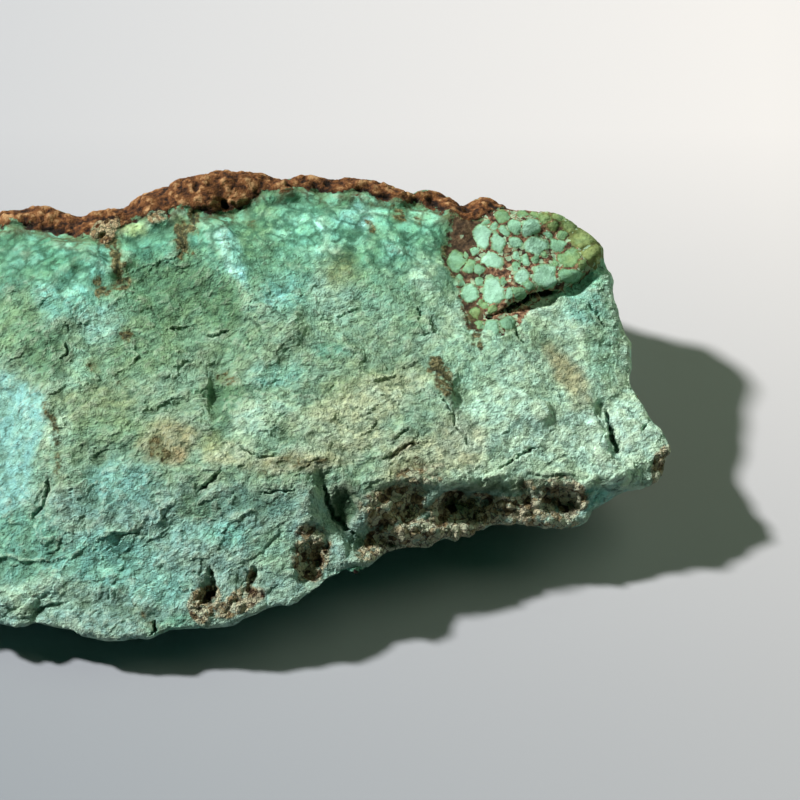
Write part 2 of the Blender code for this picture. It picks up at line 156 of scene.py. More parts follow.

# Edges of flakes, whose upper side stands out: (height in mm, how far it reaches upwards in view units, points).
# Painted shade is laid along the foot of each edge.
LEDGES = {
    "low_left": (0.26, 11, [(-40, 560), (6, 556), (40, 561), (78, 553), (96, 545), (116, 534), (144, 529), (152, 519)]),
    "hem": (0.26, 9, [(-30, 604), (4, 606), (22, 614), (42, 609), (62, 597), (78, 591)]),
    "plate": (0.18, 7, [(84, 614), (98, 609), (112, 604), (118, 597)]),
    "blue": (0.14, 8, [(60, 492), (84, 488), (98, 480), (116, 476), (134, 478)]),
    "middle": (0.16, 6, [(140, 531), (152, 520), (164, 512)]),
    "low_middle": (0.18, 8, [(150, 566), (170, 560), (188, 548), (206, 541)]),
    "low_step": (0.16, 6, [(84, 582), (104, 575), (118, 566), (130, 562)]),
    "plate_right": (0.20, 9, [(214, 534), (232, 526), (250, 512), (262, 509)]),
    "shelf_rim": (0.16, 8, [(196, 470), (226, 468), (262, 462), (300, 462), (338, 458)]),
    "under_shelf": (0.20, 9, [(470, 478), (500, 472), (530, 468), (560, 474), (600, 480)]),
    "slope": (0.15, 9, [(130, 418), (156, 410), (178, 398), (200, 394)]),
    "high_slope": (0.12, 8, [(150, 384), (172, 378), (188, 366), (206, 362)]),
    "right_slope": (0.14, 9, [(320, 400), (350, 392), (378, 382), (402, 370), (424, 352)]),
    "right_slope_low": (0.12, 7, [(352, 420), (376, 410), (400, 398), (430, 388)]),
}

# Brown veins and spots, which are only colour: (half width, strength, points).
STAINS = {
    "vein_top": (7.0, 1.0, [(103, 232), (109, 246), (112, 258), (118, 270), (119, 281)]),
    "vein_hook": (5.0, 1.0, [(119, 282), (108, 287), (97, 292)]),
    "vein_dot": (4.0, 1.0, [(93, 281), (96, 276)]),
    "vein_mid": (7.0, 1.0, [(176, 224), (179, 240), (182, 250)]),
    "vein_mid_up": (6.5, 1.0, [(190, 202), (190, 226)]),
    "spot_a": (6.0, 0.75, [(124, 332), (125, 336)]),
    "spot_b": (5.0, 0.65, [(121, 384), (126, 383)]),
    "spot_c": (4.5, 0.85, [(222, 374), (228, 381), (236, 378)]),
    "spot_d": (10.0, 1.0, [(436, 368), (441, 380), (448, 388)]),
    "spot_left": (4.0, 0.6, [(92, 363), (96, 370)]),
    "edge_web": (4.5, 0.8, [(449, 240), (447, 252), (452, 268), (462, 282)]),
    "foot_web": (6.0, 0.9, [(468, 300), (476, 312), (474, 326), (479, 343)]),
    "left_vein": (3.6, 0.65, [(46, 404), (55, 416), (60, 434), (62, 456), (63, 472)]),
    "ochre_left": (6.0, 0.8, [(158, 442), (160, 450), (170, 457)]),
    "mid_brown": (9.0, 0.55, [(398, 470), (412, 462), (426, 470)]),
    "ridge_tan": (4.0, 0.6, [(262, 466), (290, 458), (310, 462), (330, 458)]),
    "ridge_tan_b": (4.0, 0.5, [(254, 470), (268, 474)]),
    "corner_dark": (16.0, 1.0, [(462, 212), (468, 230), (463, 244)]),
    "corner_dark_b": (5.0, 0.8, [(462, 276), (470, 272), (480, 273)]),
    "corner_dark_c": (5.0, 0.7, [(560, 214), (566, 224), (566, 232)]),
    "green_brown_a": (5.0, 0.5, [(244, 214), (250, 224)]),
    "green_brown_b": (4.0, 0.7, [(366, 216), (372, 226)]),
    "green_brown_c": (5.0, 0.8, [(396, 205), (399, 214)]),
    "green_brown_d": (4.0, 0.8, [(417, 214), (419, 219)]),
    "olive_knot": (5.0, 0.4, [(336, 262), (345, 268)]),
    "low_stain": (5.0, 0.5, [(138, 604), (150, 612), (158, 618)]),
    "hem_stain": (7.0, 0.35, [(14, 600), (34, 604)]),
}

# Crumbly brown places: (u, v, half length, half height, turn in degrees, strength).
CRUMBLY = {
    "hole": (452, 508, 22, 18, 0, 1.0),
    "beside_hole": (480, 510, 18, 16, 10, 0.9),
    "right_pits": (512, 508, 30, 16, 8, 0.95),
    "right_pits_far": (558, 500, 28, 20, 8, 0.9),
    "right_pits_top": (545, 484, 32, 10, 5, 0.6),
    "under_notch": (388, 540, 36, 13, 20, 0.9),
    "brown_slope": (396, 510, 34, 30, 12, 0.9),
    "brown_slope_up": (416, 478, 30, 15, 16, 0.6),
    "red_patch": (314, 552, 22, 28, -20, 0.9),
    "low_patch": (209, 600, 15, 22, -10, 0.9),
    "low_patch_b": (255, 574, 6, 12, 0, 0.9),
    "low_patch_c": (244, 596, 28, 13, 15, 0.9),
    "nose_end": (662, 464, 12, 20, -15, 1.0),
    "rim": (436, 534, 46, 13, 14, 0.95),
    "rim_right": (535, 520, 48, 9, 0, 0.85),
    "crust_gap": (98, 227, 20, 11, 20, 0.75),
    "crust_bits": (156, 210, 12, 9, 20, 0.6),
    "fissure": (404, 450, 22, 5, 22, 0.5),
}

# Smooth hollows: (u, v, half width, half height, depth in mm).
DENTS = {
    "beside_notch": (346, 503, 15, 19, 0.55), "low": (214, 586, 7, 14, 0.30), "red": (312, 560, 15, 18, 0.22),
    "step": (216, 400, 8, 26, 0.30),
}

# Where the stone's outline and the slope under the shelf stand out, or are drawn in where this is below zero:
# (u, v, half width, half height, how far in mm).
SWELLS = {
    "under_notch": (354, 574, 30, 16, -0.65), "slope_top": (405, 490, 30, 12, -0.40),
    "slope_low": (408, 528, 34, 14, 0.50), "hole_low": (452, 530, 34, 11, 0.36), "pits_low": (545, 520, 60, 11, 0.40),
    "nose": (642, 482, 40, 12, 0.35), "tip": (670, 452, 14, 18, 0.12), "crest": (210, 180, 260, 26, 0.30),
    "crest_left": (136, 200, 16, 12, 0.25), "crest_far_left": (20, 208, 50, 12, 0.30),
    "crest_notch": (281, 187, 14, 12, 0.40), "crest_gap": (402, 194, 14, 10, 0.45),
    "crest_end": (452, 200, 14, 10, 0.25), "corner_top": (545, 214, 70, 16, 0.35),
}

# Deep dark hollows in the crumbly places: (u, v, half width, half height).
HOLES = {
    "hole": (447, 506, 8, 9), "beside_hole": (474, 513, 7, 5), "under_notch": (385, 540, 7, 4),
    "red": (317, 566, 9, 11), "right_a": (549, 501, 8, 5), "right_b": (570, 505, 9, 8), "nose": (661, 472, 4, 6),
    "low_a": (213, 590, 3, 8), "low_b": (257, 572, 4, 8), "low_c": (262, 592, 11, 6),
}

# Nodules of the veined corner: (u, v, half width, half height, tone). Tone 0 is green, 1 pale, -1 olive.
NODULE_SQUARENESS = 2.3
NODULES = [
    (505, 212, 8, 6, -0.2), (517, 223, 8, 9, 0.3), (534, 223, 10.5, 10, 0.8), (539, 242, 13, 9.5, 0.9),
    (508, 228, 6.5, 7, 0.4), (485, 233, 8.5, 12.5, 0.9), (500, 240, 7.5, 11, 0.6), (518, 239, 6.5, 5.5, 0.5),
    (477, 248, 4, 3.5, 0.3), (493, 258, 11.5, 8.5, 0.9), (561, 241, 8, 8, 0.3), (548, 214, 7, 6, -0.7),
    (556, 220, 6, 6, -0.6), (457, 259, 8.5, 12.5, 0.0), (471, 264, 6.5, 7.5, -0.1), (481, 267, 6.5, 5.5, 0.2),
    (518, 253, 3.5, 4.5, 0.5), (527, 257, 4.5, 5.5, 0.5), (517, 264, 4.5, 4, 0.1), (523, 274, 7.5, 7.5, 1.0),
    (548, 274, 12.5, 13, 0.7), (573, 255, 13, 10, -0.3), (559, 260, 4, 5, -0.4), (573, 273, 14, 7.5, 0.2),
    (494, 290, 10.5, 14.5, 0.8), (471, 292, 8.5, 10.5, 0.5), (510, 293, 5.5, 6.5, 0.6), (521, 292, 6.5, 6.5, 0.1),
    (531, 284, 8, 5.5, 0.2), (588, 234, 12, 12, -1.0), (596, 249, 10, 9, -1.0), (574, 222, 8, 6, -0.9),
    (564, 212, 8, 5, -0.7), (538, 256, 4, 3.5, 0.1), (547, 251, 4, 3.5, 0.0), (566, 231, 5, 4.5, -0.2),
    (484, 303, 5, 4.5, -0.5), (494, 309, 5, 4, -0.4), (476, 312, 5, 5, -0.6), (492, 328, 9, 8, 0.6),
    (508, 322, 8, 7, 0.3), (481, 324, 4, 5, -0.5), (466, 252, 3.5, 3.5, -0.1), (552, 232, 4, 4, 0.3),
    (526, 209, 6, 5, -0.3), (538, 210, 5, 4, -0.6), (487, 217, 4, 3, 0.0), (497, 222, 4, 4.5, 0.2),
    (583, 261, 7, 5, -0.6), (601, 256, 5, 5, -0.9), (505, 280, 4, 4, 0.0), (480, 280, 4.5, 5, 0.1),
    (461, 279, 5, 5, 0.0),
]
NODULE_CORNER = [
    (452, 205), (448, 238), (447, 262), (459, 280), (462, 300), (470, 326), (500, 336), (520, 326), (540, 300),
    (575, 286), (592, 274), (606, 258), (625, 240), (600, 200), (560, 180), (500, 175), (462, 190),
]
BRIGHT_FACET = [
    (-80, 340), (0, 370), (24, 382), (45, 396), (50, 410), (47, 430), (40, 446), (36, 462), (34, 480), (28, 500),
    (10, 512), (-80, 520),
]

# Colours as they look in raking light, in 0 to 255, and how much lighter the stone itself is.
RAKING = 1.36
PALETTE = {
    "base_top": (112, 165, 138), "base_mid": (130, 162, 136), "base_right": (172, 204, 180),
    "base_low": (136, 171, 158), "teal": (98, 160, 138), "cyan": (122, 184, 170), "pale_cyan": (150, 212, 205),
    "bright_cyan": (146, 214, 196), "blue": (120, 170, 159), "mint": (146, 190, 163), "pale_mint": (172, 208, 184),
    "mint_white": (182, 216, 198), "green": (110, 148, 112), "dark_green": (90, 130, 97), "deep_teal": (78, 126, 108),
    "olive": (132, 146, 102), "pale_olive": (152, 176, 124), "ochre": (150, 146, 112), "orange_tan": (162, 142, 108),
    "tan": (168, 160, 132), "cream": (186, 194, 162), "teal_bright": (126, 190, 162), "facet_blue": (124, 176, 170),
    "painted_shade_olive": (66, 84, 56),
}
LIGHTEST = 0.90  # no part of the stone's colour is lighter

# Paints laid over the stone's own colour, and ramps of them, in 0 to 255. Some are painted shade or highlight.
PAINTS = {
    "chalk_and_highlight": (216, 232, 206), "deep_speck": (66, 102, 76), "flake_crevice_shade": (56, 82, 60), "painted_low_shade": (66, 104, 78),
    "hollow": (76, 112, 84), "grain_line": (54, 104, 78), "grain_line_brown": (84, 76, 44), "by_crust": (96, 112, 66),
    "dash": (48, 72, 50), "stain_halo": (104, 116, 68), "crumb_gap": (50, 37, 26), "crumb_pit": (62, 42, 30),
    "dark_matrix": (66, 52, 35), "olive_matrix": (112, 120, 72), "green_bit": (132, 150, 104),
    "pale_bit": (176, 214, 180), "crack_and_shade": (28, 42, 28), "hole": (64, 36, 28), "crust_foot_and_shade": (30, 20, 13),
}
RAMPS = {
    "rust": [(0.38, (30, 28, 14)), (0.46, (66, 60, 32)), (0.54, (108, 98, 58)), (0.64, (182, 172, 132))],
    # The crumbs' colours are lighter than their own: painted light for a slope that the lamp barely reaches.
    "crumb": [
        (0.18, (74, 56, 38)), (0.29, (132, 112, 78)), (0.40, (188, 170, 128)), (0.54, (234, 226, 190)),
        (0.80, (222, 232, 200)),
    ],
    "matrix": [
        (0.36, (42, 28, 20)), (0.46, (88, 62, 44)), (0.55, (136, 100, 76)), (0.64, (174, 146, 114)),
        (0.74, (200, 196, 156)),
    ],
    "nodule": [
        (0.0, (142, 158, 100)), (0.28, (124, 160, 110)), (0.5, (122, 170, 134)), (0.75, (142, 192, 162)),
        (1.0, (162, 210, 186)),
    ],
    "crust": [
        (0.36, (24, 13, 7)), (0.44, (62, 37, 19)), (0.51, (104, 64, 34)), (0.58, (134, 88, 49)),
        (0.70, (196, 154, 108)),
    ],
}

# Soft patches of colour: (colour, u, v, half length, half height, turn in degrees, strength).
PATCHES = [
    ("deep_teal", 16, 246, 50, 18, 0, 0.8), ("teal", 62, 246, 24, 12, 0, 0.6), ("cyan", 66, 290, 36, 28, 20, 0.8),
    ("deep_teal", 4, 276, 24, 20, 0, 0.6), ("green", 8, 325, 38, 34, 0, 0.8), ("dark_green", 44, 352, 26, 28, 0, 0.8),
    ("pale_cyan", 98, 322, 22, 24, 0, 0.45), ("mint", 80, 362, 12, 28, 0, 0.7),
    ("bright_cyan", 93, 262, 15, 19, 0, 1.0), ("cyan", 84, 292, 10, 10, 0, 0.6), ("teal", 60, 250, 26, 12, 0, 0.6),
    ("pale_olive", 131, 227, 17, 9, 15, 0.9), ("olive", 178, 214, 13, 9, 0, 0.9),
    ("deep_teal", 168, 234, 30, 14, 0, 0.9), ("dark_green", 160, 288, 46, 46, 30, 0.85),
    ("teal", 148, 247, 26, 14, 0, 0.7), ("dark_green", 215, 300, 22, 40, 35, 0.9),
    ("green", 150, 345, 60, 30, 20, 0.7), ("teal", 203, 228, 18, 14, 0, 0.8),
    ("teal_bright", 232, 216, 10, 10, 0, 0.8), ("pale_cyan", 229, 254, 9, 34, 28, 0.95),
    ("mint", 248, 300, 12, 14, 30, 0.6), ("green", 250, 240, 20, 22, 0, 0.6), ("cyan", 284, 288, 24, 20, -20, 0.8),
    ("pale_cyan", 276, 296, 10, 8, 0, 0.5), ("bright_cyan", 318, 228, 38, 26, 0, 0.65),
    ("mint_white", 330, 284, 22, 36, 10, 0.6), ("pale_cyan", 352, 212, 20, 12, 0, 0.9),
    ("teal_bright", 385, 214, 9, 18, 0, 0.8), ("teal_bright", 414, 232, 28, 22, 0, 0.7),
    ("cyan", 405, 254, 26, 14, 0, 0.6), ("green", 262, 215, 16, 14, 0, 0.6), ("olive", 340, 266, 22, 17, 0, 0.8),
    ("mint", 345, 312, 60, 26, 0, 0.4), ("green", 410, 322, 18, 12, 10, 0.5), ("teal", 330, 352, 22, 12, 0, 0.6),
    ("pale_mint", 428, 270, 22, 26, 0, 0.7), ("mint", 395, 270, 24, 14, 0, 0.5), ("cyan", 275, 376, 26, 13, 0, 0.6),
    # The dark green at (222, 392) and (222, 405) is painted shade along a small step.
    ("dark_green", 222, 392, 28, 8, 8, 0.9), ("green", 240, 348, 34, 16, 30, 0.5),
    ("olive", 100, 405, 46, 20, 0, 0.5), ("ochre", 172, 438, 32, 22, 0, 0.8), ("orange_tan", 181, 451, 13, 8, 0, 0.5),
    ("pale_mint", 262, 418, 34, 18, 15, 0.9), ("cream", 230, 452, 24, 12, 0, 0.7), ("tan", 300, 462, 50, 12, 5, 0.6),
    ("cream", 365, 402, 70, 22, 22, 0.6), ("olive", 355, 380, 40, 14, 22, 0.4), ("cream", 350, 442, 46, 16, 10, 0.65),
    ("cream", 410, 458, 34, 20, 20, 0.8), ("mint", 470, 360, 50, 34, 40, 0.7),
    ("pale_mint", 505, 418, 70, 40, 35, 0.8), ("mint_white", 548, 430, 70, 24, 8, 0.7),
    ("mint_white", 615, 438, 46, 30, -10, 0.95), ("mint", 602, 345, 20, 44, -10, 0.7),
    # Painted light: the bright teal at (580, 281), in shade under the nodules, stands in for light reaching it.
    ("teal_bright", 580, 281, 26, 11, 20, 1.0), ("cyan", 590, 305, 24, 18, 0, 0.7),
    ("green", 530, 335, 30, 18, -30, 0.5), ("ochre", 566, 374, 12, 34, 40, 0.8), ("cream", 576, 398, 14, 16, 30, 0.6),
    ("tan", 458, 440, 26, 26, 0, 0.5), ("cream", 455, 462, 30, 12, 0, 0.6), ("blue", 124, 486, 44, 27, 10, 0.95),
    ("green", 110, 428, 50, 18, 0, 0.5), ("pale_mint", 62, 430, 12, 18, 0, 0.8), ("teal", 20, 545, 60, 40, 0, 0.7),
    ("pale_mint", 55, 590, 50, 16, 8, 0.6), ("cyan", 112, 556, 50, 26, 10, 0.8),
    ("deep_teal", 258, 503, 46, 12, 0, 0.5), ("cyan", 226, 531, 26, 14, 0, 0.8), ("mint", 275, 548, 22, 22, 0, 0.6),
    ("cyan", 165, 585, 32, 20, 0, 0.6), ("teal", 185, 622, 30, 12, 0, 0.7), ("blue", 182, 530, 26, 16, 0, 0.5),
    ("cyan", 592, 498, 18, 9, -5, 0.9), ("dark_green", 200, 505, 24, 12, 0, 0.6), ("olive", 215, 440, 12, 12, 0, 0.6),
    # The dark olive beside the notch and under the shelf is painted shade.
    ("dark_green", 222, 405, 14, 26, 0, 0.7), ("painted_shade_olive", 346, 500, 22, 20, 0, 0.9),
    ("painted_shade_olive", 374, 488, 8, 12, 0, 0.6), ("mint", 30, 480, 20, 20, 0, 0.4),
    ("painted_shade_olive", 485, 486, 28, 8, 5, 0.8), ("painted_shade_olive", 538, 482, 32, 8, 5, 0.8),
]


# Numbers.

def look_up(cells, seed):
    """A number from 0 to 255 for each whole-numbered cell, the same each time."""
    x, y, z = cells.astype(np.int64).T
    mixed = (x * 73856093) ^ (y * 19349663) ^ (z * 83492791) ^ (seed * 2654435761)
    return ((mixed ^ (mixed >> 13)) * 1274126177 >> 7) & 255


def noise(points, size, seed):
    """Smooth noise from about -1 to 1, with lumps of the given size."""
    scaled = points / size
    base = np.floor(scaled)
    part = scaled - base
    fade = part**3 * (part * (part * 6 - 15) + 10)
    total = np.zeros(len(points))
    for corner in itertools.product((0, 1), repeat=3):
        gradient = GRADIENTS[look_up(base + corner, seed)]
        share = np.prod(np.where(corner, fade, 1 - fade), axis=1)
        total += share * np.einsum("ij,ij->i", gradient, part - corner)
    return total * 1.6


def noises(points, size, *seeds):
    """One noise to a column."""
    return np.column_stack([noise(points, size, seed) for seed in seeds])


def chips(points, size, seed):
    """Flat chips, each tilted its own way, as on a hackly break. Returns (height, how far inside its chip)."""
    scaled = points / size
    base = np.floor(scaled)
    nearest = np.full(len(points), 9.0)
    second = np.full(len(points), 9.0)
    height = np.zeros(len(points))
    for corner in itertools.product((-1, 0, 1), repeat=3):
        index = look_up(base + corner, seed)
        away = scaled - (base + corner + SCATTER[index])
        distance = np.linalg.norm(away, axis=1)
        tilted = np.einsum("ij,ij->i", GRADIENTS[255 - index], away) + SCATTER[index, 0] - 0.5
        closer = distance < nearest
        second = np.where(closer, nearest, np.minimum(second, distance))
        height = np.where(closer, tilted, height)
        nearest = np.where(closer, distance, nearest)
    return height, second - nearest


def smooth(x):
    """0 below 0, 1 above 1, and an even curve between."""
    x = np.clip(x, 0, 1)
    return x * x * (3 - 2 * x)


def past(values, start, stretch):
    """0 up to the start, and 1 from a stretch further on."""
    return smooth((values - start) / stretch)


def line_places(flat, line):
    """(distance of each (u, v) from a line of points, how far along the line it is nearest to, from 0 to 1)."""
    best = np.full(len(flat), 1e9)
    share = np.zeros(len(flat))
    corners = np.array(line, float)
    lengths = np.linalg.norm(np.diff(corners, axis=0), axis=1)
    passed = np.concatenate([[0.0], np.cumsum(lengths)])
    for start, end, before, length in zip(corners[:-1], corners[1:], passed, lengths):
        along = end - start
        t = np.clip((flat - start) @ along / (along @ along), 0, 1)
        distance = np.linalg.norm(flat - start - t[:, None] * along, axis=1)
        share = np.where(distance < best, (before + t * length) / passed[-1], share)
        best = np.minimum(best, distance)
    return best, share


def inside_distance(flat, outline):
    """How far inside a closed outline each (u, v) lies, and negative outside it."""
    corners = np.array(outline, float)
    inside = np.zeros(len(flat), bool)
    for (u0, v0), (u1, v1) in zip(corners, np.roll(corners, -1, axis=0)):
        crosses = (v0 > flat[:, 1]) != (v1 > flat[:, 1])
        at = u0 + (flat[:, 1] - v0) * (u1 - u0) / (v1 - v0 + 1e-12)
        inside ^= crosses & (flat[:, 0] < at)
    return line_places(flat, [*outline, outline[0]])[0] * np.where(inside, 1, -1)


def oval(flat, u, v, half_length, half_height, turn=0):
    """Distance from the middle of an oval as a share of its size: 1 on its rim. Turn lifts its right end."""
    angle = math.radians(turn)
    du, dv = flat[:, 0] - u, flat[:, 1] - v
    along = du * math.cos(angle) - dv * math.sin(angle)
    across = du * math.sin(angle) + dv * math.cos(angle)
    return np.hypot(along / half_length, across / half_height)


# The stone's fields.

class Fields:
    """What each vertex needs to know, from its place and its direction."""

    def __init__(self, points, normals):
        self.points = points
        self.normals = normals
        w = points[:, 1] * SIN + points[:, 2] * COS
        self.flat = np.column_stack([ZERO_U + points[:, 0] / UNIT, ZERO_V - w / UNIT])
        self.facing = -normals[:, 1] * COS + normals[:, 2] * SIN
        self.seen = smooth(self.facing * 4 + 0.2)
        wobble = noises(points, 1.1, 1, 2)
        fine_wobble = noises(points, 0.4, 3, 4)
        self.bent = self.flat + 3.0 * wobble + 1.2 * fine_wobble
        self.loose = self.flat + 8.0 * noises(points, 2.6, 5, 6) + 3.0 * wobble

    def crust(self):
        """How far into the brown crust, in mm: above zero on it, below zero on turquoise."""
        foot = np.array(CRUST_FOOT, float)
        above = (np.interp(self.bent[:, 0], foot[:, 0], foot[:, 1]) - self.bent[:, 1]) * UNIT
        back = self.normals[:, 1] * 3.0 - 0.6 + 0.8 * noise(self.points, 3.5, 7)
        under = -self.normals[:, 2] * 3.0 - 1.0
        patchy = 1.6 * noise(self.points, 5.5, 8) - 0.1
        hidden = np.where(under > 0, np.minimum(back, patchy) * 0.5 + patchy * 0.5, back)
        return np.maximum(above * self.seen - 4 * (1 - self.seen), hidden * (1 - self.seen) - 4 * self.seen)

    def corner(self):
        """How far inside the veined corner, in mm."""
        return inside_distance(self.bent, NODULE_CORNER) * UNIT - 3 * (1 - self.seen)

    def nodules(self):
        """(how far inside a nodule, in shares of its size, below zero in the vein; its tone)."""
        warped = self.flat + 2.6 * noises(self.points, 0.75, 11, 12)
        warped += 1.5 * noises(self.points, 0.3, 19, 20)
        nearest = np.full(len(warped), 9.0)
        second = np.full(len(warped), 9.0)
        tone = np.zeros(len(warped))
        for u, v, half_width, half_height, this_tone in NODULES:
            turn = math.sin(u * 12.9 + v * 7.3) * 0.5  # each its own way
            du, dv = (warped[:, 0] - u) / half_width, (warped[:, 1] - v) / half_height
            across = np.abs(du * math.cos(turn) - dv * math.sin(turn))
            down = np.abs(du * math.sin(turn) + dv * math.cos(turn))
            distance = (across**NODULE_SQUARENESS + down**NODULE_SQUARENESS) ** (1 / NODULE_SQUARENESS)
            closer = distance < nearest
            second = np.where(closer, nearest, np.minimum(second, distance))
            tone = np.where(closer, this_tone, tone)
            nearest = np.where(closer, distance, nearest)
        return np.minimum((1.03 - nearest) * 1.2, (second - nearest) * 1.1 - 0.24), tone

    def crumbly(self):
        """From 0 to 1 in the crumbly brown places."""
        best = np.zeros(len(self.points))
        for u, v, half_length, half_height, turn, strength in CRUMBLY.values():
            reach = smooth((1.25 - oval(self.loose, u, v, half_length, half_height, turn)) / 0.5)
            best = np.maximum(best, strength * reach)
        return best * self.seen

    def dents(self):
        """How deep the smooth hollows are, in mm."""
        depth = np.zeros(len(self.points))
        for u, v, half_width, half_height, deepest in DENTS.values():
            inside = smooth(1.25 - oval(self.bent, u, v, half_width, half_height))
            depth = np.maximum(depth, deepest * inside)
        return depth * self.seen

    def swells(self):
        """How far the outline stands out, in mm."""
        height = np.zeros(len(self.points))
        near_side = smooth(-2.5 * self.normals[:, 1])
        upper_side = smooth(0.5 + 2 * self.normals[:, 2])
        for u, v, half_width, half_height, most in SWELLS.values():
            side = upper_side if v < UPPER_HALF else near_side
            height += most * side * smooth(1.25 - oval(self.flat, u, v, half_width, half_height))
        return height

    def holes(self):
        """From 0 to 1 in the deep dark holes."""
        best = np.zeros(len(self.points))
        for u, v, half_width, half_height in HOLES.values():
            best = np.maximum(best, smooth((1.5 - oval(self.loose, u, v, half_width, half_height)) / 1.0))
        return best * smooth(0.8 + 0.9 * noise(self.points, 0.5, 10)) * self.seen

    def cracks(self):
        """(depth in mm, darkness from 0 to 1, painted shadow under the nodules). Each thins out to its ends, unevenly.
        """
        depth = np.zeros(len(self.points))
        dark = np.zeros(len(self.points))
        uneven = 0.85 + 0.45 * noise(self.points, 0.55, 9)
        ragged = self.bent + 1.3 * noises(self.points, 0.3, 14, 15)
        for cut, half_width, darkness, line in CRACKS.values():
            distance, share = line_places(ragged, line)
            thin = smooth(np.minimum(share, 1 - share) * 3.2 + 0.30)
            width = half_width * np.maximum(thin * uneven, 0.12)
            depth = np.maximum(depth, cut * thin * smooth(1.5 - distance / width))
            dark = np.maximum(dark, darkness * thin * smooth(1.4 - distance / width))
        return depth * self.seen, dark * self.seen

    def ledges(self):
        """(how far the flakes stand out, in mm; painted shade at the foot of their edges, from 0 to 1)."""
        height = np.zeros(len(self.points))
        dark = np.zeros(len(self.points))
        ragged = self.loose + 1.5 * noises(self.points, 0.3, 16, 17)
        uneven = smooth(0.65 + 0.8 * noise(self.points, 1.4, 18))
        for rise, reach, line in LEDGES.values():
            corners = np.array(line, float)
            ends = smooth((ragged[:, 0] - corners[0, 0]) / 12) * smooth((corners[-1, 0] - ragged[:, 0]) / 12)
            above = np.interp(ragged[:, 0], corners[:, 0], corners[:, 1]) - ragged[:, 1]
            fades = np.exp(-np.maximum(above, 0) / reach)
            height = np.maximum(height, rise * uneven * ends * fades * smooth(above / 2.0 + 0.5))
            dark = np.maximum(dark, uneven * ends * smooth(1.2 - np.abs(above + 0.8) / 1.6))
        return height * self.seen, dark * self.seen

    def stains(self):
        """From 0 to 1 on the brown veins and spots."""
        best = np.zeros(len(self.points))
        ragged = self.bent + 2.2 * noises(self.points, 0.4, 25, 26)
        for half_width, strength, line in STAINS.values():
            best = np.maximum(best, strength * smooth(1.6 - line_places(ragged, line)[0] / half_width))
        return best * smooth(0.95 + 0.9 * noise(self.points, 0.5, 24)) * self.seen

    def cells(self):
        """From 0 to 1 where the turquoise shows rounded grains with dark lines between: under the crust."""
        foot = np.array(CRUST_FOOT, float)
        below = self.loose[:, 1] - np.interp(self.loose[:, 0], foot[:, 0], foot[:, 1])
        reach = np.interp(self.loose[:, 0], *zip(*GRAINS_REACH))
        return smooth(1.5 - below / reach) * self.seen * smooth((GRAINS_END - self.flat[:, 0]) / GRAINS_FADE)

    def facet(self):
        """How far inside the bright facet at the left, in mm."""
        return inside_distance(self.bent, BRIGHT_FACET) * UNIT - 3 * (1 - self.seen)


def grain_frame(degrees):
    """Three directions: up and to the right along the seen side at this angle, across that, and towards the camera."""
    angle = math.radians(degrees)
    right, up = np.array([1.0, 0, 0]), np.array([0, SIN, COS])
    along = math.cos(angle) * right + math.sin(angle) * up
    across = math.cos(angle) * up - math.sin(angle) * right
    return along, across, np.array([0, -COS, SIN])


def hackly(points, rough):
    """The broken turquoise surface, in mm: tilted chips drawn out up and to the right, over finer grain."""
    along, across, out = grain_frame(GRAIN_TURN)
    grain = np.column_stack([points @ along / 2.0, points @ across, points @ out])
    warp = noises(points, 1.6, 31, 32, 33)
    coarse, _ = chips(points + 0.6 * warp, 2.6, 34)
    middle, gap = chips(grain + 0.35 * warp, 1.0, 35)
    fine, _ = chips(grain + 0.15 * warp, 0.5, 36)
    height = COARSE_CHIPS * rough * coarse + MIDDLE_CHIPS * rough * middle + FINE_CHIPS * fine
    height -= CHIP_GAPS * smooth(1 - gap / 0.10) * smooth(noise(points, 2.2, 37) * 2) * rough
    return height + (0.04 * rough * noise(points, 1.2, 38) + 0.022 * noise(points, 0.4, 39))


def lumpy(points):
    """The crust's surface, in mm: rounded lumps with pits between, and a gritty grain."""
    warp = noises(points, 1.3, 41, 42, 43)
    _, big = chips(points + 0.5 * warp, 1.7, 44)
    _, small = chips(points + 0.25 * warp, 0.7, 45)
    pits = smooth(noise(points, 1.0, 48) * 2.2 - 0.5)
    height = BIG_LUMPS * smooth(big * 1.6) + SMALL_LUMPS * smooth(small * 1.6) - 0.14 - CRUST_PITS * pits
    return height + 0.10 * noise(points, 1.1, 46) + 0.07 * noise(points, 0.42, 47)


def crumbs(points):
    """The crumbly places' surface, in mm."""
    _, big = chips(points, 1.15, 51)
    _, small = chips(points, 0.6, 52)
    pits = smooth(noise(points, 1.2, 53) * 1.8 - 0.4)
    return BIG_CRUMBS * smooth(big * 1.5) + SMALL_CRUMBS * smooth(small * 1.5) - 0.17 - CRUMB_PITS * pits


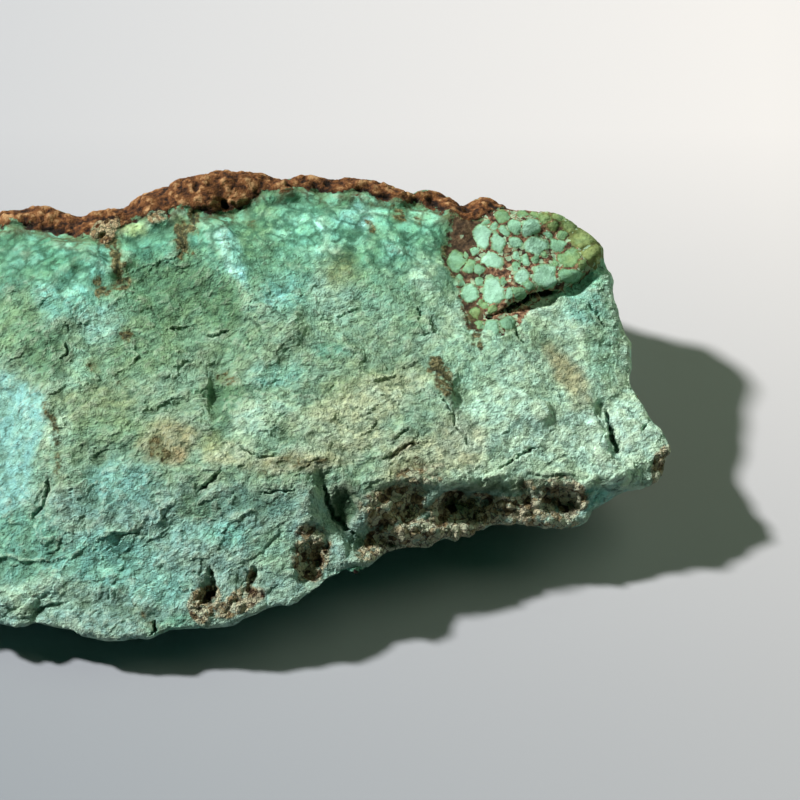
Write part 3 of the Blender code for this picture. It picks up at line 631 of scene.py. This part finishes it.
def displaced(points, normals):
    """The fine relief, moved along the normals."""
    field = Fields(points, normals)
    crust_depth = field.crust()
    crust = smooth(crust_depth / 0.3 + 0.5)
    corner = smooth(field.corner() / 0.3 + 0.5) * (1 - crust)
    nodule, _ = field.nodules()
    crumbly = field.crumbly() * (1 - crust)
    cells = field.cells() * (1 - crust) * (1 - corner)
    facet = smooth(field.facet() / 0.6)
    depth, _ = field.cracks()
    raised, _ = field.ledges()
    low = past(field.flat[:, 1], *LOW_PART) * field.seen
    calm_face = smooth(1.4 - oval(field.flat, *CALM_FACE)) * field.seen
    rough = (0.80 + 0.05 * low) * (1 - 0.7 * cells) * (1 - 0.85 * calm_face)
    broken = hackly(points, rough) * (1 - 0.30 * facet) * (1 - 0.6 * corner)
    broken = broken * (1 - 0.75 * cells) * (1 - 0.2 * calm_face)
    inside = smooth(nodule / 0.25 + 0.4)
    domes = NODULE_DOMES * inside - 0.05 + 0.05 * noise(points, 0.35, 61) * (1 - inside)
    step = -CRUST_STEP * smooth(1 - np.abs(crust_depth + 0.12) / 0.32) * field.seen
    relief = lumpy(points) * crust + broken * (1 - crust) + domes * corner
    relief = relief + 0.75 * crumbs(points) * crumbly + step - depth
    relief += raised * (1 - crust) * (1 - corner) - HOLE_DEPTH * field.holes() - field.dents() + field.swells()
    calm = 0.35 + 0.65 * smooth(np.abs(field.facing) * 3)
    moved = points + normals * (relief * calm)[:, None]
    at_foot = points[:, 2] < 0.5 + SOLID_ORIGIN[2]
    moved[at_foot, 2] = np.maximum(moved[at_foot, 2], SOLID_ORIGIN[2])
    return moved


# The mesh.

def places(mesh):
    """The vertices and their normals, as rows."""
    points = np.empty(len(mesh.vertices) * 3, np.float32)
    normals = np.empty(len(mesh.vertices) * 3, np.float32)
    mesh.vertices.foreach_get("co", points)
    mesh.vertex_normals.foreach_get("vector", normals)
    return points.reshape(-1, 3).astype(float), normals.reshape(-1, 3).astype(float)


def applied(obj):
    """The object's mesh as its modifiers leave it, which are then removed."""
    graph = bpy.context.evaluated_depsgraph_get()
    mesh = bpy.data.meshes.new_from_object(obj.evaluated_get(graph))
    obj.modifiers.clear()
    obj.data = mesh
    return mesh


def averaged(mesh, values, turns):
    """Each vertex's value replaced by the mean of its neighbours' and its own, so many times."""
    edges = np.empty(len(mesh.edges) * 2, np.int32)
    mesh.edges.foreach_get("vertices", edges)
    a, b = edges.reshape(-1, 2).T
    count = np.bincount(a, minlength=len(values)) + np.bincount(b, minlength=len(values)) + 1.0
    for _ in range(turns):
        columns = []
        for column in values.T:
            total = np.bincount(a, column[b], len(values)) + np.bincount(b, column[a], len(values)) + column
            columns.append(total / count)
        values = np.column_stack(columns)
    return values


def fine_stone():
    """The solid, rounded and cut with the fine relief. Its mesh is in mm, in the outline's numbers."""
    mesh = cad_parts[NODE].data.copy()
    skin = bmesh.new()
    skin.from_mesh(mesh)
    bmesh.ops.remove_doubles(skin, verts=skin.verts, dist=1e-6)
    bmesh.ops.transform(skin, verts=skin.verts, matrix=Matrix.Translation(SOLID_ORIGIN) @ Matrix.Scale(1 / MM, 4))
    skin.to_mesh(mesh)
    skin.free()
    mesh.materials.clear()
    stone = bpy.data.objects.new("turquoise_stone", mesh)
    bpy.context.scene.collection.objects.link(stone)
    even = stone.modifiers.new("even_faces", "REMESH")
    even.mode = "VOXEL"
    even.voxel_size = FINE_GRAIN
    rounded = stone.modifiers.new("rounded", "SMOOTH")
    rounded.factor = 0.5
    rounded.iterations = 8
    mesh = applied(stone)
    points, normals = places(mesh)
    mesh.vertices.foreach_set("co", displaced(points, normals).astype(np.float32).ravel())
    mesh.update()
    hidden = stone.vertex_groups.new(name="hidden")
    seen = normals[:, 2] * SIN - normals[:, 1] * COS > 0.05
    hidden.add(np.flatnonzero(~seen).tolist(), 1.0, "REPLACE")
    hidden.add(np.flatnonzero(seen).tolist(), 0.5, "REPLACE")
    fewer = stone.modifiers.new("fewer_faces", "DECIMATE")
    fewer.ratio = min(1.0, TRIANGLES / sum(len(p.vertices) - 2 for p in mesh.polygons))
    fewer.use_collapse_triangulate = True
    fewer.vertex_group = "hidden"
    fewer.vertex_group_factor = SEEN_SIDE_FIRST
    applied(stone)
    return stone


def daylight(name):
    """A palette colour as the stone's own, linear, from 0 to 1."""
    c = np.array(PALETTE[name]) / 255
    c = RAKING * np.where(c <= 0.04045, c / 12.92, ((c + 0.055) / 1.055) ** 2.4)
    return c * min(1.0, LIGHTEST / c.max())


def painted(field):
    """The turquoise's own colour at each vertex: broad tones, then the soft patches."""
    u, v = field.loose.T
    low = past(v, *LOW_TONE)
    middle = past(v, *MIDDLE_TONE)
    right = past(u, *RIGHT_TONE) * past(v, *RIGHT_TONE_TOP)
    colour = np.tile(daylight("base_top"), (len(u), 1))
    # The low tone is bluer, and also painted lighter to stand in for light that the steep lower face does not get.
    for share, name in ((middle, "base_mid"), (right, "base_right"), (low, "base_low")):
        colour += (daylight(name) - colour) * share[:, None]
    for name, at_u, at_v, half_length, half_height, turn, strength in PATCHES:
        share = strength * smooth((1.35 - oval(field.loose, at_u, at_v, half_length, half_height, turn)) / 0.8)
        colour += (daylight(name) - colour) * (share * field.seen)[:, None]
    colour *= np.minimum(1, LIGHTEST / colour.max(axis=1))[:, None]
    facet = smooth(field.facet() / 0.9 + 0.5)
    colour += (daylight("facet_blue") - colour) * (0.85 * facet)[:, None]
    hidden = noise(field.points, 4.0, 71)
    other = daylight("teal") + (daylight("cyan") - daylight("teal")) * smooth(hidden + 0.5)[:, None]
    colour += (other - colour) * (1 - field.seen)[:, None]
    return colour


def store(mesh, name, values):
    """Keeps one field on the mesh."""
    if values.ndim == 1:
        layer = mesh.attributes.new(name, "FLOAT", "POINT")
        layer.data.foreach_set("value", values.astype(np.float32))
    else:
        layer = mesh.attributes.new(name, "FLOAT_COLOR", "POINT")
        full = np.column_stack([values, np.ones(len(values))])
        layer.data.foreach_set("color", full.astype(np.float32).ravel())


def greatest_mean(mesh, names):
    """The greatest of the named fields at each face's middle."""
    corners = np.empty(len(mesh.loops), np.int32)
    mesh.loops.foreach_get("vertex_index", corners)
    best = np.zeros(len(mesh.polygons))
    for name in names:
        values = np.empty(len(mesh.vertices), np.float32)
        mesh.attributes[name].data.foreach_get("value", values)
        best = np.maximum(best, values[corners].reshape(-1, 3).mean(axis=1))
    return best


def store_fields(mesh):
    """Keeps on the mesh what its material needs to know."""
    points, normals = places(mesh)
    near = averaged(mesh, points, 3)
    far = averaged(mesh, near, 14)
    broad = averaged(mesh, normals, 12)
    broad /= np.linalg.norm(broad, axis=1, keepdims=True) + 1e-9
    field = Fields(points, broad)
    nodule, tone = field.nodules()
    _, dark = field.cracks()
    _, foot = field.ledges()
    crust = field.crust()
    kept = {
        "tint": painted(field),
        "crust": crust,
        "corner": np.minimum(field.corner(), -crust + 0.1),
        "corner_share": smooth(field.corner() / 0.3 + 0.5),
        "nodule": nodule,
        "tone": tone,
        "crumbly": field.crumbly(),
        "hole": field.holes(),
        # The cracks' darkness, with painted shade at the foot of the flake edges.
        "crack_and_shade": np.maximum(dark, 0.55 * foot),
        "stain": field.stains(),
        "cells": field.cells(),
        "facet": smooth(field.facet() / 0.25 + 0.5),
        "rise": np.einsum("ij,ij->i", points - near, broad) / 0.05,
        "swell": np.einsum("ij,ij->i", near - far, broad) / 0.12,
    }
    for name, values in kept.items():
        store(mesh, name, values)


# The materials.

def shade(r, g, b):
    """A colour given in 0 to 255 as it looks in daylight, as a linear one with alpha."""
    c = np.array((r, g, b)) / 255
    c = np.where(c <= 0.04045, c / 12.92, ((c + 0.055) / 1.055) ** 2.4)
    return (*c.tolist(), 1.0)


class Mixer:
    """Short names for the nodes that the materials are made of. A value is a socket or a plain number."""

    def __init__(self, material):
        self.tree = material.node_tree
        self.place = self.tree.nodes.new("ShaderNodeTexCoord").outputs["Object"]
        self.place = self.scaled(self.place, 1 / MM)

    def feed(self, socket, value):
        if isinstance(value, bpy.types.NodeSocket):
            self.tree.links.new(value, socket)
        else:
            socket.default_value = value

    def value(self, operation, a, b=0.0):
        node = self.tree.nodes.new("ShaderNodeMath")
        node.operation = operation
        self.feed(node.inputs[0], a)
        self.feed(node.inputs[1], b)
        return node.outputs[0]

    def times(self, *values):
        total = values[0]
        for value in values[1:]:
            total = self.value("MULTIPLY", total, value)
        return total

    def plus(self, *values):
        total = values[0]
        for value in values[1:]:
            total = self.value("ADD", total, value)
        return total

    def vector(self, operation, a, b=(0, 0, 0)):
        node = self.tree.nodes.new("ShaderNodeVectorMath")
        node.operation = operation
        self.feed(node.inputs[0], a)
        self.feed(node.inputs[1], b)
        return node.outputs["Value" if operation == "DOT_PRODUCT" else "Vector"]

    def scaled(self, a, scale):
        node = self.tree.nodes.new("ShaderNodeVectorMath")
        node.operation = "SCALE"
        self.feed(node.inputs[0], a)
        self.feed(node.inputs["Scale"], scale)
        return node.outputs["Vector"]

    def span(self, value, low, high, to_low=0.0, to_high=1.0, smoothly=False):
        """The value's share of the way from low to high, put between two others and kept between them."""
        node = self.tree.nodes.new("ShaderNodeMapRange")
        if smoothly:
            node.interpolation_type = "SMOOTHSTEP"
        self.feed(node.inputs["Value"], value)
        node.inputs["From Min"].default_value = low
        node.inputs["From Max"].default_value = high
        node.inputs["To Min"].default_value = to_low
        node.inputs["To Max"].default_value = to_high
        return node.outputs["Result"]

    def step(self, value, low, high):
        return self.span(value, low, high, smoothly=True)

    def swing(self, noise, low, high):
        """A noise, which stays between about 0.3 and 0.7, put between two other numbers."""
        return self.span(noise, 0.3, 0.7, low, high)

    def mix(self, share, a, b):
        """Two colours mixed. Each is a socket, four numbers or the name of a paint."""
        node = self.tree.nodes.new("ShaderNodeMix")
        node.data_type = "RGBA"
        self.feed(node.inputs[0], share)
        for socket, colour in ((node.inputs[6], a), (node.inputs[7], b)):
            self.feed(socket, shade(*PAINTS[colour]) if isinstance(colour, str) else colour)
        return node.outputs[2]

    def over(self, colour, paint, value, low, high, *shares):
        """The colour, with a paint over it where the value goes from low to high, as thick as the shares say."""
        return self.mix(self.times(self.step(value, low, high), *shares), colour, paint)

    def lit(self, colour, share):
        """The colour, or the paint of that name, made lighter or darker: 1 leaves it."""
        if isinstance(colour, str):
            colour = shade(*PAINTS[colour])[:3]
        return self.scaled(colour, share)

    def moved(self, place, away, reach):
        return self.vector("ADD", place, self.scaled(away, reach))

    def field(self, name, colour=False):
        node = self.tree.nodes.new("ShaderNodeAttribute")
        node.attribute_name = name
        return node.outputs["Color" if colour else "Fac"]

    def noise(self, per_mm, detail=3.0, roughness=0.55, shift=0.0, colour=False):
        node = self.tree.nodes.new("ShaderNodeTexNoise")
        self.feed(node.inputs["Vector"], self.vector("ADD", self.place, (shift, shift * 1.7, -shift)))
        node.inputs["Scale"].default_value = per_mm
        node.inputs["Detail"].default_value = detail
        node.inputs["Roughness"].default_value = roughness
        return node.outputs["Color" if colour else "Fac"]

    def grains(self, per_mm, place, edges=False):
        """A random number for each grain or, for edges, the distance from its edge."""
        node = self.tree.nodes.new("ShaderNodeTexVoronoi")
        self.feed(node.inputs["Vector"], place)
        node.inputs["Scale"].default_value = per_mm
        if edges:
            node.feature = "DISTANCE_TO_EDGE"
            return node.outputs["Distance"]
        split = self.tree.nodes.new("ShaderNodeSeparateColor")
        self.feed(split.inputs[0], node.outputs["Color"])
        return split.outputs[0]

    def flakes(self, per_mm, place):
        """(a random number for each flake, its height in mm: flat, and tilted its own way)."""
        node = self.tree.nodes.new("ShaderNodeTexVoronoi")
        self.feed(node.inputs["Vector"], place)
        node.inputs["Scale"].default_value = per_mm
        split = self.tree.nodes.new("ShaderNodeSeparateColor")
        self.feed(split.inputs[0], node.outputs["Color"])
        away = self.vector("SUBTRACT", place, node.outputs["Position"])
        tilt = self.vector("SUBTRACT", node.outputs["Color"], (0.5, 0.5, 0.5))
        return split.outputs[0], self.vector("DOT_PRODUCT", away, tilt)

    def along_grain(self, degrees, stretch):
        """The place in a frame turned on the seen side, and drawn out along its first direction."""
        node = self.tree.nodes.new("ShaderNodeCombineXYZ")
        along, across, out = grain_frame(degrees)
        for socket, direction in zip(node.inputs, (along / stretch, across, out)):
            self.feed(socket, self.vector("DOT_PRODUCT", self.place, tuple(direction.tolist())))
        return node.outputs[0]

    def ramp(self, value, name):
        stops = RAMPS[name]
        node = self.tree.nodes.new("ShaderNodeValToRGB")
        elements = node.color_ramp.elements
        while len(elements) < len(stops):
            elements.new(0.5)
        for element, (at, colour) in zip(elements, stops):
            element.position = at
            element.color = shade(*colour)
        self.feed(node.inputs["Fac"], value)
        return node.outputs["Color"]


def stone_material():
    material = bpy.data.materials.new("turquoise_and_crust")
    material.use_nodes = True
    m = Mixer(material)
    shader = material.node_tree.nodes["Principled BSDF"]

    tint = m.field("tint", colour=True)
    rise, swell, cells, stain, crust_depth = map(m.field, ("rise", "swell", "cells", "stain", "crust"))
    broad, hue = m.noise(0.5, 3), m.noise(0.9, 4, shift=13.0)
    edgy, rough = m.noise(1.3, 5, 0.62, shift=31.0), m.noise(2.5, 4, 0.68, shift=21.0)
    fine, grit = m.noise(3.6, 4, 0.7, shift=5.0), m.noise(8.0, 2, 0.6, shift=9.0)
    bend = m.vector("SUBTRACT", m.noise(0.9, 2, colour=True, shift=7.0), (0.5, 0.5, 0.5))
    chip, flake = m.flakes(2.6, m.moved(m.along_grain(GRAIN_TURN, 1.6), bend, 0.6))

    # Turquoise: warmer and cooler places, light and dark specks, painted highlight and chalky white up high, painted
    # shade low.
    warm = m.vector("MULTIPLY", tint, (1.06, 1.0, 0.93))
    cool = m.vector("MULTIPLY", tint, (0.94, 1.0, 1.06))
    light = m.times(m.swing(broad, 0.88, 1.12), m.swing(fine, 0.84, 1.16), m.span(chip, 0, 1, 0.88, 1.12))
    colour = m.lit(m.mix(m.step(hue, 0.36, 0.64), warm, cool), light)
    calm = m.value("SUBTRACT", 1.0, m.times(cells, 0.7))
    colour = m.over(colour, "deep_speck", rough, 0.43, 0.30, 0.45, calm)
    colour = m.over(colour, "chalk_and_highlight", rough, 0.60, 0.72, 0.35, calm)
    # Painted shade in the crevices on the low side of each flake.
    colour = m.over(colour, "flake_crevice_shade", flake, -0.02, -0.09, m.step(edgy, 0.40, 0.56), 0.55)
    # Chalky white and painted highlight: what stands out above its neighbours is painted lighter.
    colour = m.over(colour, "chalk_and_highlight", rise, 0.1, 1.0, 0.22)
    # Painted shade: what lies below its neighbours, and the broad hollows, are painted darker green.
    colour = m.over(colour, "painted_low_shade", rise, -0.1, -1.0, 0.38)
    colour = m.over(colour, "hollow", swell, -0.2, -1.2, 0.22)

    # Rounded grains under the crust, with dark green lines between.
    bent = m.moved(m.place, bend, 1.3)
    own = m.grains(0.70, bent)
    edge = m.plus(m.grains(0.70, bent, edges=True), m.swing(fine, -0.04, 0.04))
    dark_grain, pale_grain = m.vector("MULTIPLY", colour, (0.74, 0.84, 0.76)), m.lit(colour, 1.22)
    grain = m.lit(m.mix(m.step(own, 0.15, 0.85), dark_grain, pale_grain), m.span(edge, 0.0, 0.25, 0.84, 1.06))
    colour = m.mix(cells, colour, grain)
    grain_line = m.mix(m.step(crust_depth, -1.4, -0.3), "grain_line", "grain_line_brown")
    colour = m.over(colour, grain_line, edge, 0.21, 0.0, cells, m.step(hue, 0.30, 0.52), 0.72)
    colour = m.over(colour, "by_crust", crust_depth, -1.0, -0.1, m.step(hue, 0.62, 0.42), 0.4)

    # Short dark cracks that run up and to the right.
    dash_place = m.moved(m.along_grain(DASH_TURN, 3.4), bend, 0.5)
    dash_edge = m.plus(m.grains(0.8, dash_place, edges=True), m.swing(fine, -0.02, 0.02))
    colour = m.over(colour, "dash", dash_edge, 0.05, 0.01, m.step(hue, 0.56, 0.68), calm, 0.62)

    # Brown veins and spots, with an ochre stain round them.
    rough_stain = m.times(stain, m.span(edgy, 0.34, 0.66, 0.2, 1.7))
    colour = m.over(colour, "stain_halo", stain, 0.02, 0.8, 0.45)
    rust = m.ramp(m.plus(m.times(rough, 0.6), m.times(fine, 0.4)), "rust")
    colour = m.over(colour, rust, rough_stain, 0.36, 0.90, 0.9)

    # Crumbly places: brown, tan and pale fragments with dark gaps between, and tan ones by the crust.
    rough_crumbly = m.times(m.field("crumbly"), m.swing(edgy, 0.35, 1.5))
    broken_place = m.moved(m.place, bend, 0.7)
    crumb = m.grains(2.0, broken_place)
    crumb_edge = m.plus(m.grains(2.0, broken_place, edges=True), m.swing(fine, -0.04, 0.04))
    relief = m.plus(rise, swell)
    # Raised crumbs are painted a little lighter and sunken ones darker: painted highlight and shade.
    crumbs_colour = m.ramp(m.plus(m.times(crumb, 0.55), m.times(fine, 0.5), m.times(relief, 0.05)), "crumb")
    crumbs_colour = m.over(crumbs_colour, "crumb_gap", crumb_edge, 0.08, 0.01, 0.7)
    crumbs_colour = m.over(crumbs_colour, "crumb_pit", rough, 0.46, 0.38, 0.8)
    tan_crumbs = m.vector("MULTIPLY", crumbs_colour, (1.0, 0.72, 0.56))
    crumbs_colour = m.over(crumbs_colour, tan_crumbs, crust_depth, -1.6, -0.6, 0.7)
    colour = m.over(colour, crumbs_colour, rough_crumbly, 0.25, 0.75)

    # The veined corner: brown matrix and pale nodules, olive at its end.
    tone = m.field("tone")
    # Raised matrix is painted a little lighter and sunken matrix darker: painted highlight and shade.
    matrix = m.ramp(m.plus(rough, m.times(rise, 0.05)), "matrix")
    dark_matrix = m.lit("dark_matrix", m.span(rough, 0.38, 0.62, 0.5, 1.7))
    matrix = m.over(matrix, dark_matrix, stain, 0.1, 0.6, 0.85)
    matrix = m.over(matrix, m.lit("olive_matrix", light), tone, -0.45, -0.85)
    bits = m.lit(m.mix(crumb, "green_bit", "pale_bit"), light)
    matrix = m.over(matrix, bits, crumb_edge, 0.05, 0.11, m.step(crumb, 0.46, 0.56), m.step(stain, 0.5, 0.1), 0.8)
    nodule_colour = m.ramp(m.plus(m.span(tone, -1, 1, 0, 1), m.swing(hue, -0.14, 0.14)), "nodule")
    nodule_colour = m.lit(nodule_colour, m.times(light, 1.02))
    nodule = m.plus(m.field("nodule"), m.swing(fine, -0.10, 0.10))
    rim = m.mix(m.step(nodule, 0.0, 0.34), m.vector("MULTIPLY", nodule_colour, (0.62, 0.62, 0.46)), nodule_colour)
    veined = m.over(matrix, rim, nodule, -0.09, 0.07)
    corner = m.plus(m.field("corner"), m.swing(edgy, -0.4, 0.4))
    colour = m.over(colour, veined, corner, -0.10, 0.12)

    # Cracks and deep holes, with painted shade at the foot of flake edges, under the nodules and in the holes.
    crack_and_shade = m.times(m.field("crack_and_shade"), m.swing(fine, 0.75, 1.2))
    colour = m.over(colour, "crack_and_shade", crack_and_shade, 0.25, 0.85, 0.85)
    # The holes are painted dark maroon: partly their own brown, partly painted shade in them.
    colour = m.over(colour, "hole", m.field("hole"), 0.15, 0.9, 0.4)

    # The crust.
    # The crust's own browns, painted lighter on its lumps and darker in its pits: painted highlight and shade.
    crust_tone = m.plus(m.times(edgy, 0.55), m.times(rough, 0.45), m.times(relief, 0.045))
    crust_colour = m.ramp(m.plus(crust_tone, m.span(crumb, 0, 1, -0.05, 0.05)), "crust")
    crust = m.plus(crust_depth, m.swing(hue, -0.45, 0.45), m.swing(fine, -0.07, 0.07))
    crust = m.plus(crust, m.times(m.step(rough_crumbly, 0.25, 0.75), -1.4))
    # The crust's foot is painted near black: its own dark brown and painted shade under its edge.
    crust_colour = m.over(crust_colour, "crust_foot_and_shade", crust, 0.55, 0.05, m.step(hue, 0.36, 0.56), 0.5)
    colour = m.over(colour, crust_colour, crust, -0.09, 0.09)

    m.feed(shader.inputs["Base Color"], colour)
    shader.inputs["Roughness"].default_value = STONE_ROUGHNESS
    shader.inputs["Specular IOR Level"].default_value = STONE_SPECULAR
    bump = m.tree.nodes.new("ShaderNodeBump")
    bump.inputs["Strength"].default_value = 1.0
    bump.inputs["Distance"].default_value = MM
    off_facet = m.value("SUBTRACT", 1.0, m.times(m.field("facet"), 0.4))
    off_corner = m.value("SUBTRACT", 1.0, m.times(m.field("corner_share"), 0.6))
    softness = m.times(calm, off_facet, m.span(edgy, 0.36, 0.64, 0.6, 1.3), off_corner)
    softness = m.plus(softness, m.times(m.step(crust_depth, -0.1, 0.2), 0.6), m.times(rough_crumbly, 1.7))
    height = m.times(m.plus(m.times(fine, 0.22), m.times(grit, 0.18), m.times(flake, 0.75)), softness)
    m.feed(bump.inputs["Height"], height)
    m.feed(shader.inputs["Normal"], bump.outputs["Normal"])
    return material


def floor_material():
    """Pale paper with painted light: a little darker and cooler towards its near left."""
    material = bpy.data.materials.new("pale_floor")
    material.use_nodes = True
    m = Mixer(material)
    shader = material.node_tree.nodes["Principled BSDF"]
    across = m.span(m.vector("DOT_PRODUCT", m.place, (1.0, 0, 0)), -30, 42)
    deep = m.span(m.vector("DOT_PRODUCT", m.place, (0, 1.0, 0)), -35, 35)
    # Painted light: the paper is lighter towards the far right and darker towards the near left.
    light = m.times(m.span(across, 0, 1, 0.77, 1.16), m.span(m.value("POWER", deep, 1.5), 0, 1, 0.64, 1.02))
    paper = m.mix(m.times(m.plus(across, deep), 0.5), FLOOR_COOL, FLOOR_WARM)
    m.feed(shader.inputs["Base Color"], m.lit(paper, light))
    shader.inputs["Roughness"].default_value = FLOOR_ROUGHNESS
    shader.inputs["Specular IOR Level"].default_value = FLOOR_SPECULAR
    return material


# The floor, the lights and the camera.

def add_floor():
    mesh = bpy.data.meshes.new("floor")
    corners = [(-1, -1), (1, -1), (1, 1), (-1, 1)]
    mesh.from_pydata([(x * FLOOR_REACH, y * FLOOR_REACH, FLOOR_LEVEL) for x, y in corners], [], [(0, 1, 2, 3)])
    floor = bpy.data.objects.new("floor", mesh)
    bpy.context.scene.collection.objects.link(floor)
    mesh.materials.append(floor_material())


def add_light(name, direction, size, power, colour):
    light = bpy.data.lights.new(name, "AREA")
    light.shape = "DISK"
    light.size = size
    light.energy = power
    light.color = colour
    lamp = bpy.data.objects.new(name, light)
    bpy.context.scene.collection.objects.link(lamp)
    lamp.location = direction * LIGHT_DISTANCE
    lamp.rotation_euler = direction.to_track_quat("Z", "Y").to_euler()


def add_lights():
    add_light("key", TO_LIGHT, KEY_SIZE, KEY_POWER, KEY_COLOUR)
    add_light("fill", TO_FILL, FILL_SIZE, FILL_POWER, FILL_COLOUR)
    world = bpy.data.worlds.new("soft_surround")
    bpy.context.scene.world = world
    world.use_nodes = True
    around = world.node_tree.nodes["Background"]
    around.inputs["Color"].default_value = AROUND_COLOUR
    around.inputs["Strength"].default_value = AROUND_STRENGTH


def add_camera():
    camera = bpy.data.cameras.new("camera")
    camera.lens = LENS_MM
    camera.sensor_width = SENSOR_MM
    camera.clip_start = 0.01
    eye = bpy.data.objects.new("camera", camera)
    bpy.context.scene.collection.objects.link(eye)
    x = (VIEW_MIDDLE - ZERO_U) * UNIT
    w = (ZERO_V - VIEW_MIDDLE) * UNIT
    target = np.array([x, (w - TARGET_HEIGHT * COS) / SIN, TARGET_HEIGHT]) - SOLID_ORIGIN
    back = Vector((0, -COS, SIN))
    eye.location = Vector(target * MM) + back * (LENS_MM / SENSOR_MM * 2 * VIEW_MIDDLE * UNIT * MM)
    eye.rotation_euler = back.to_track_quat("Z", "Y").to_euler()
    bpy.context.scene.camera = eye


def main():
    stone = fine_stone()
    store_fields(stone.data)
    points, _ = places(stone.data)
    points = (points - SOLID_ORIGIN) * MM
    points[:, 2] = np.maximum(points[:, 2], 0)
    stone.data.vertices.foreach_set("co", points.astype(np.float32).ravel())
    stone.data.update()
    rounded = greatest_mean(stone.data, ("cells", "facet", "corner_share")) > SMOOTH_ABOVE
    stone.data.polygons.foreach_set("use_smooth", rounded)
    stone.data.materials.append(stone_material())
    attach(stone, "root")
    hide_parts(NODE)
    add_floor()
    add_lights()
    add_camera()
    bpy.context.scene.view_settings.view_transform = "Standard"


main()
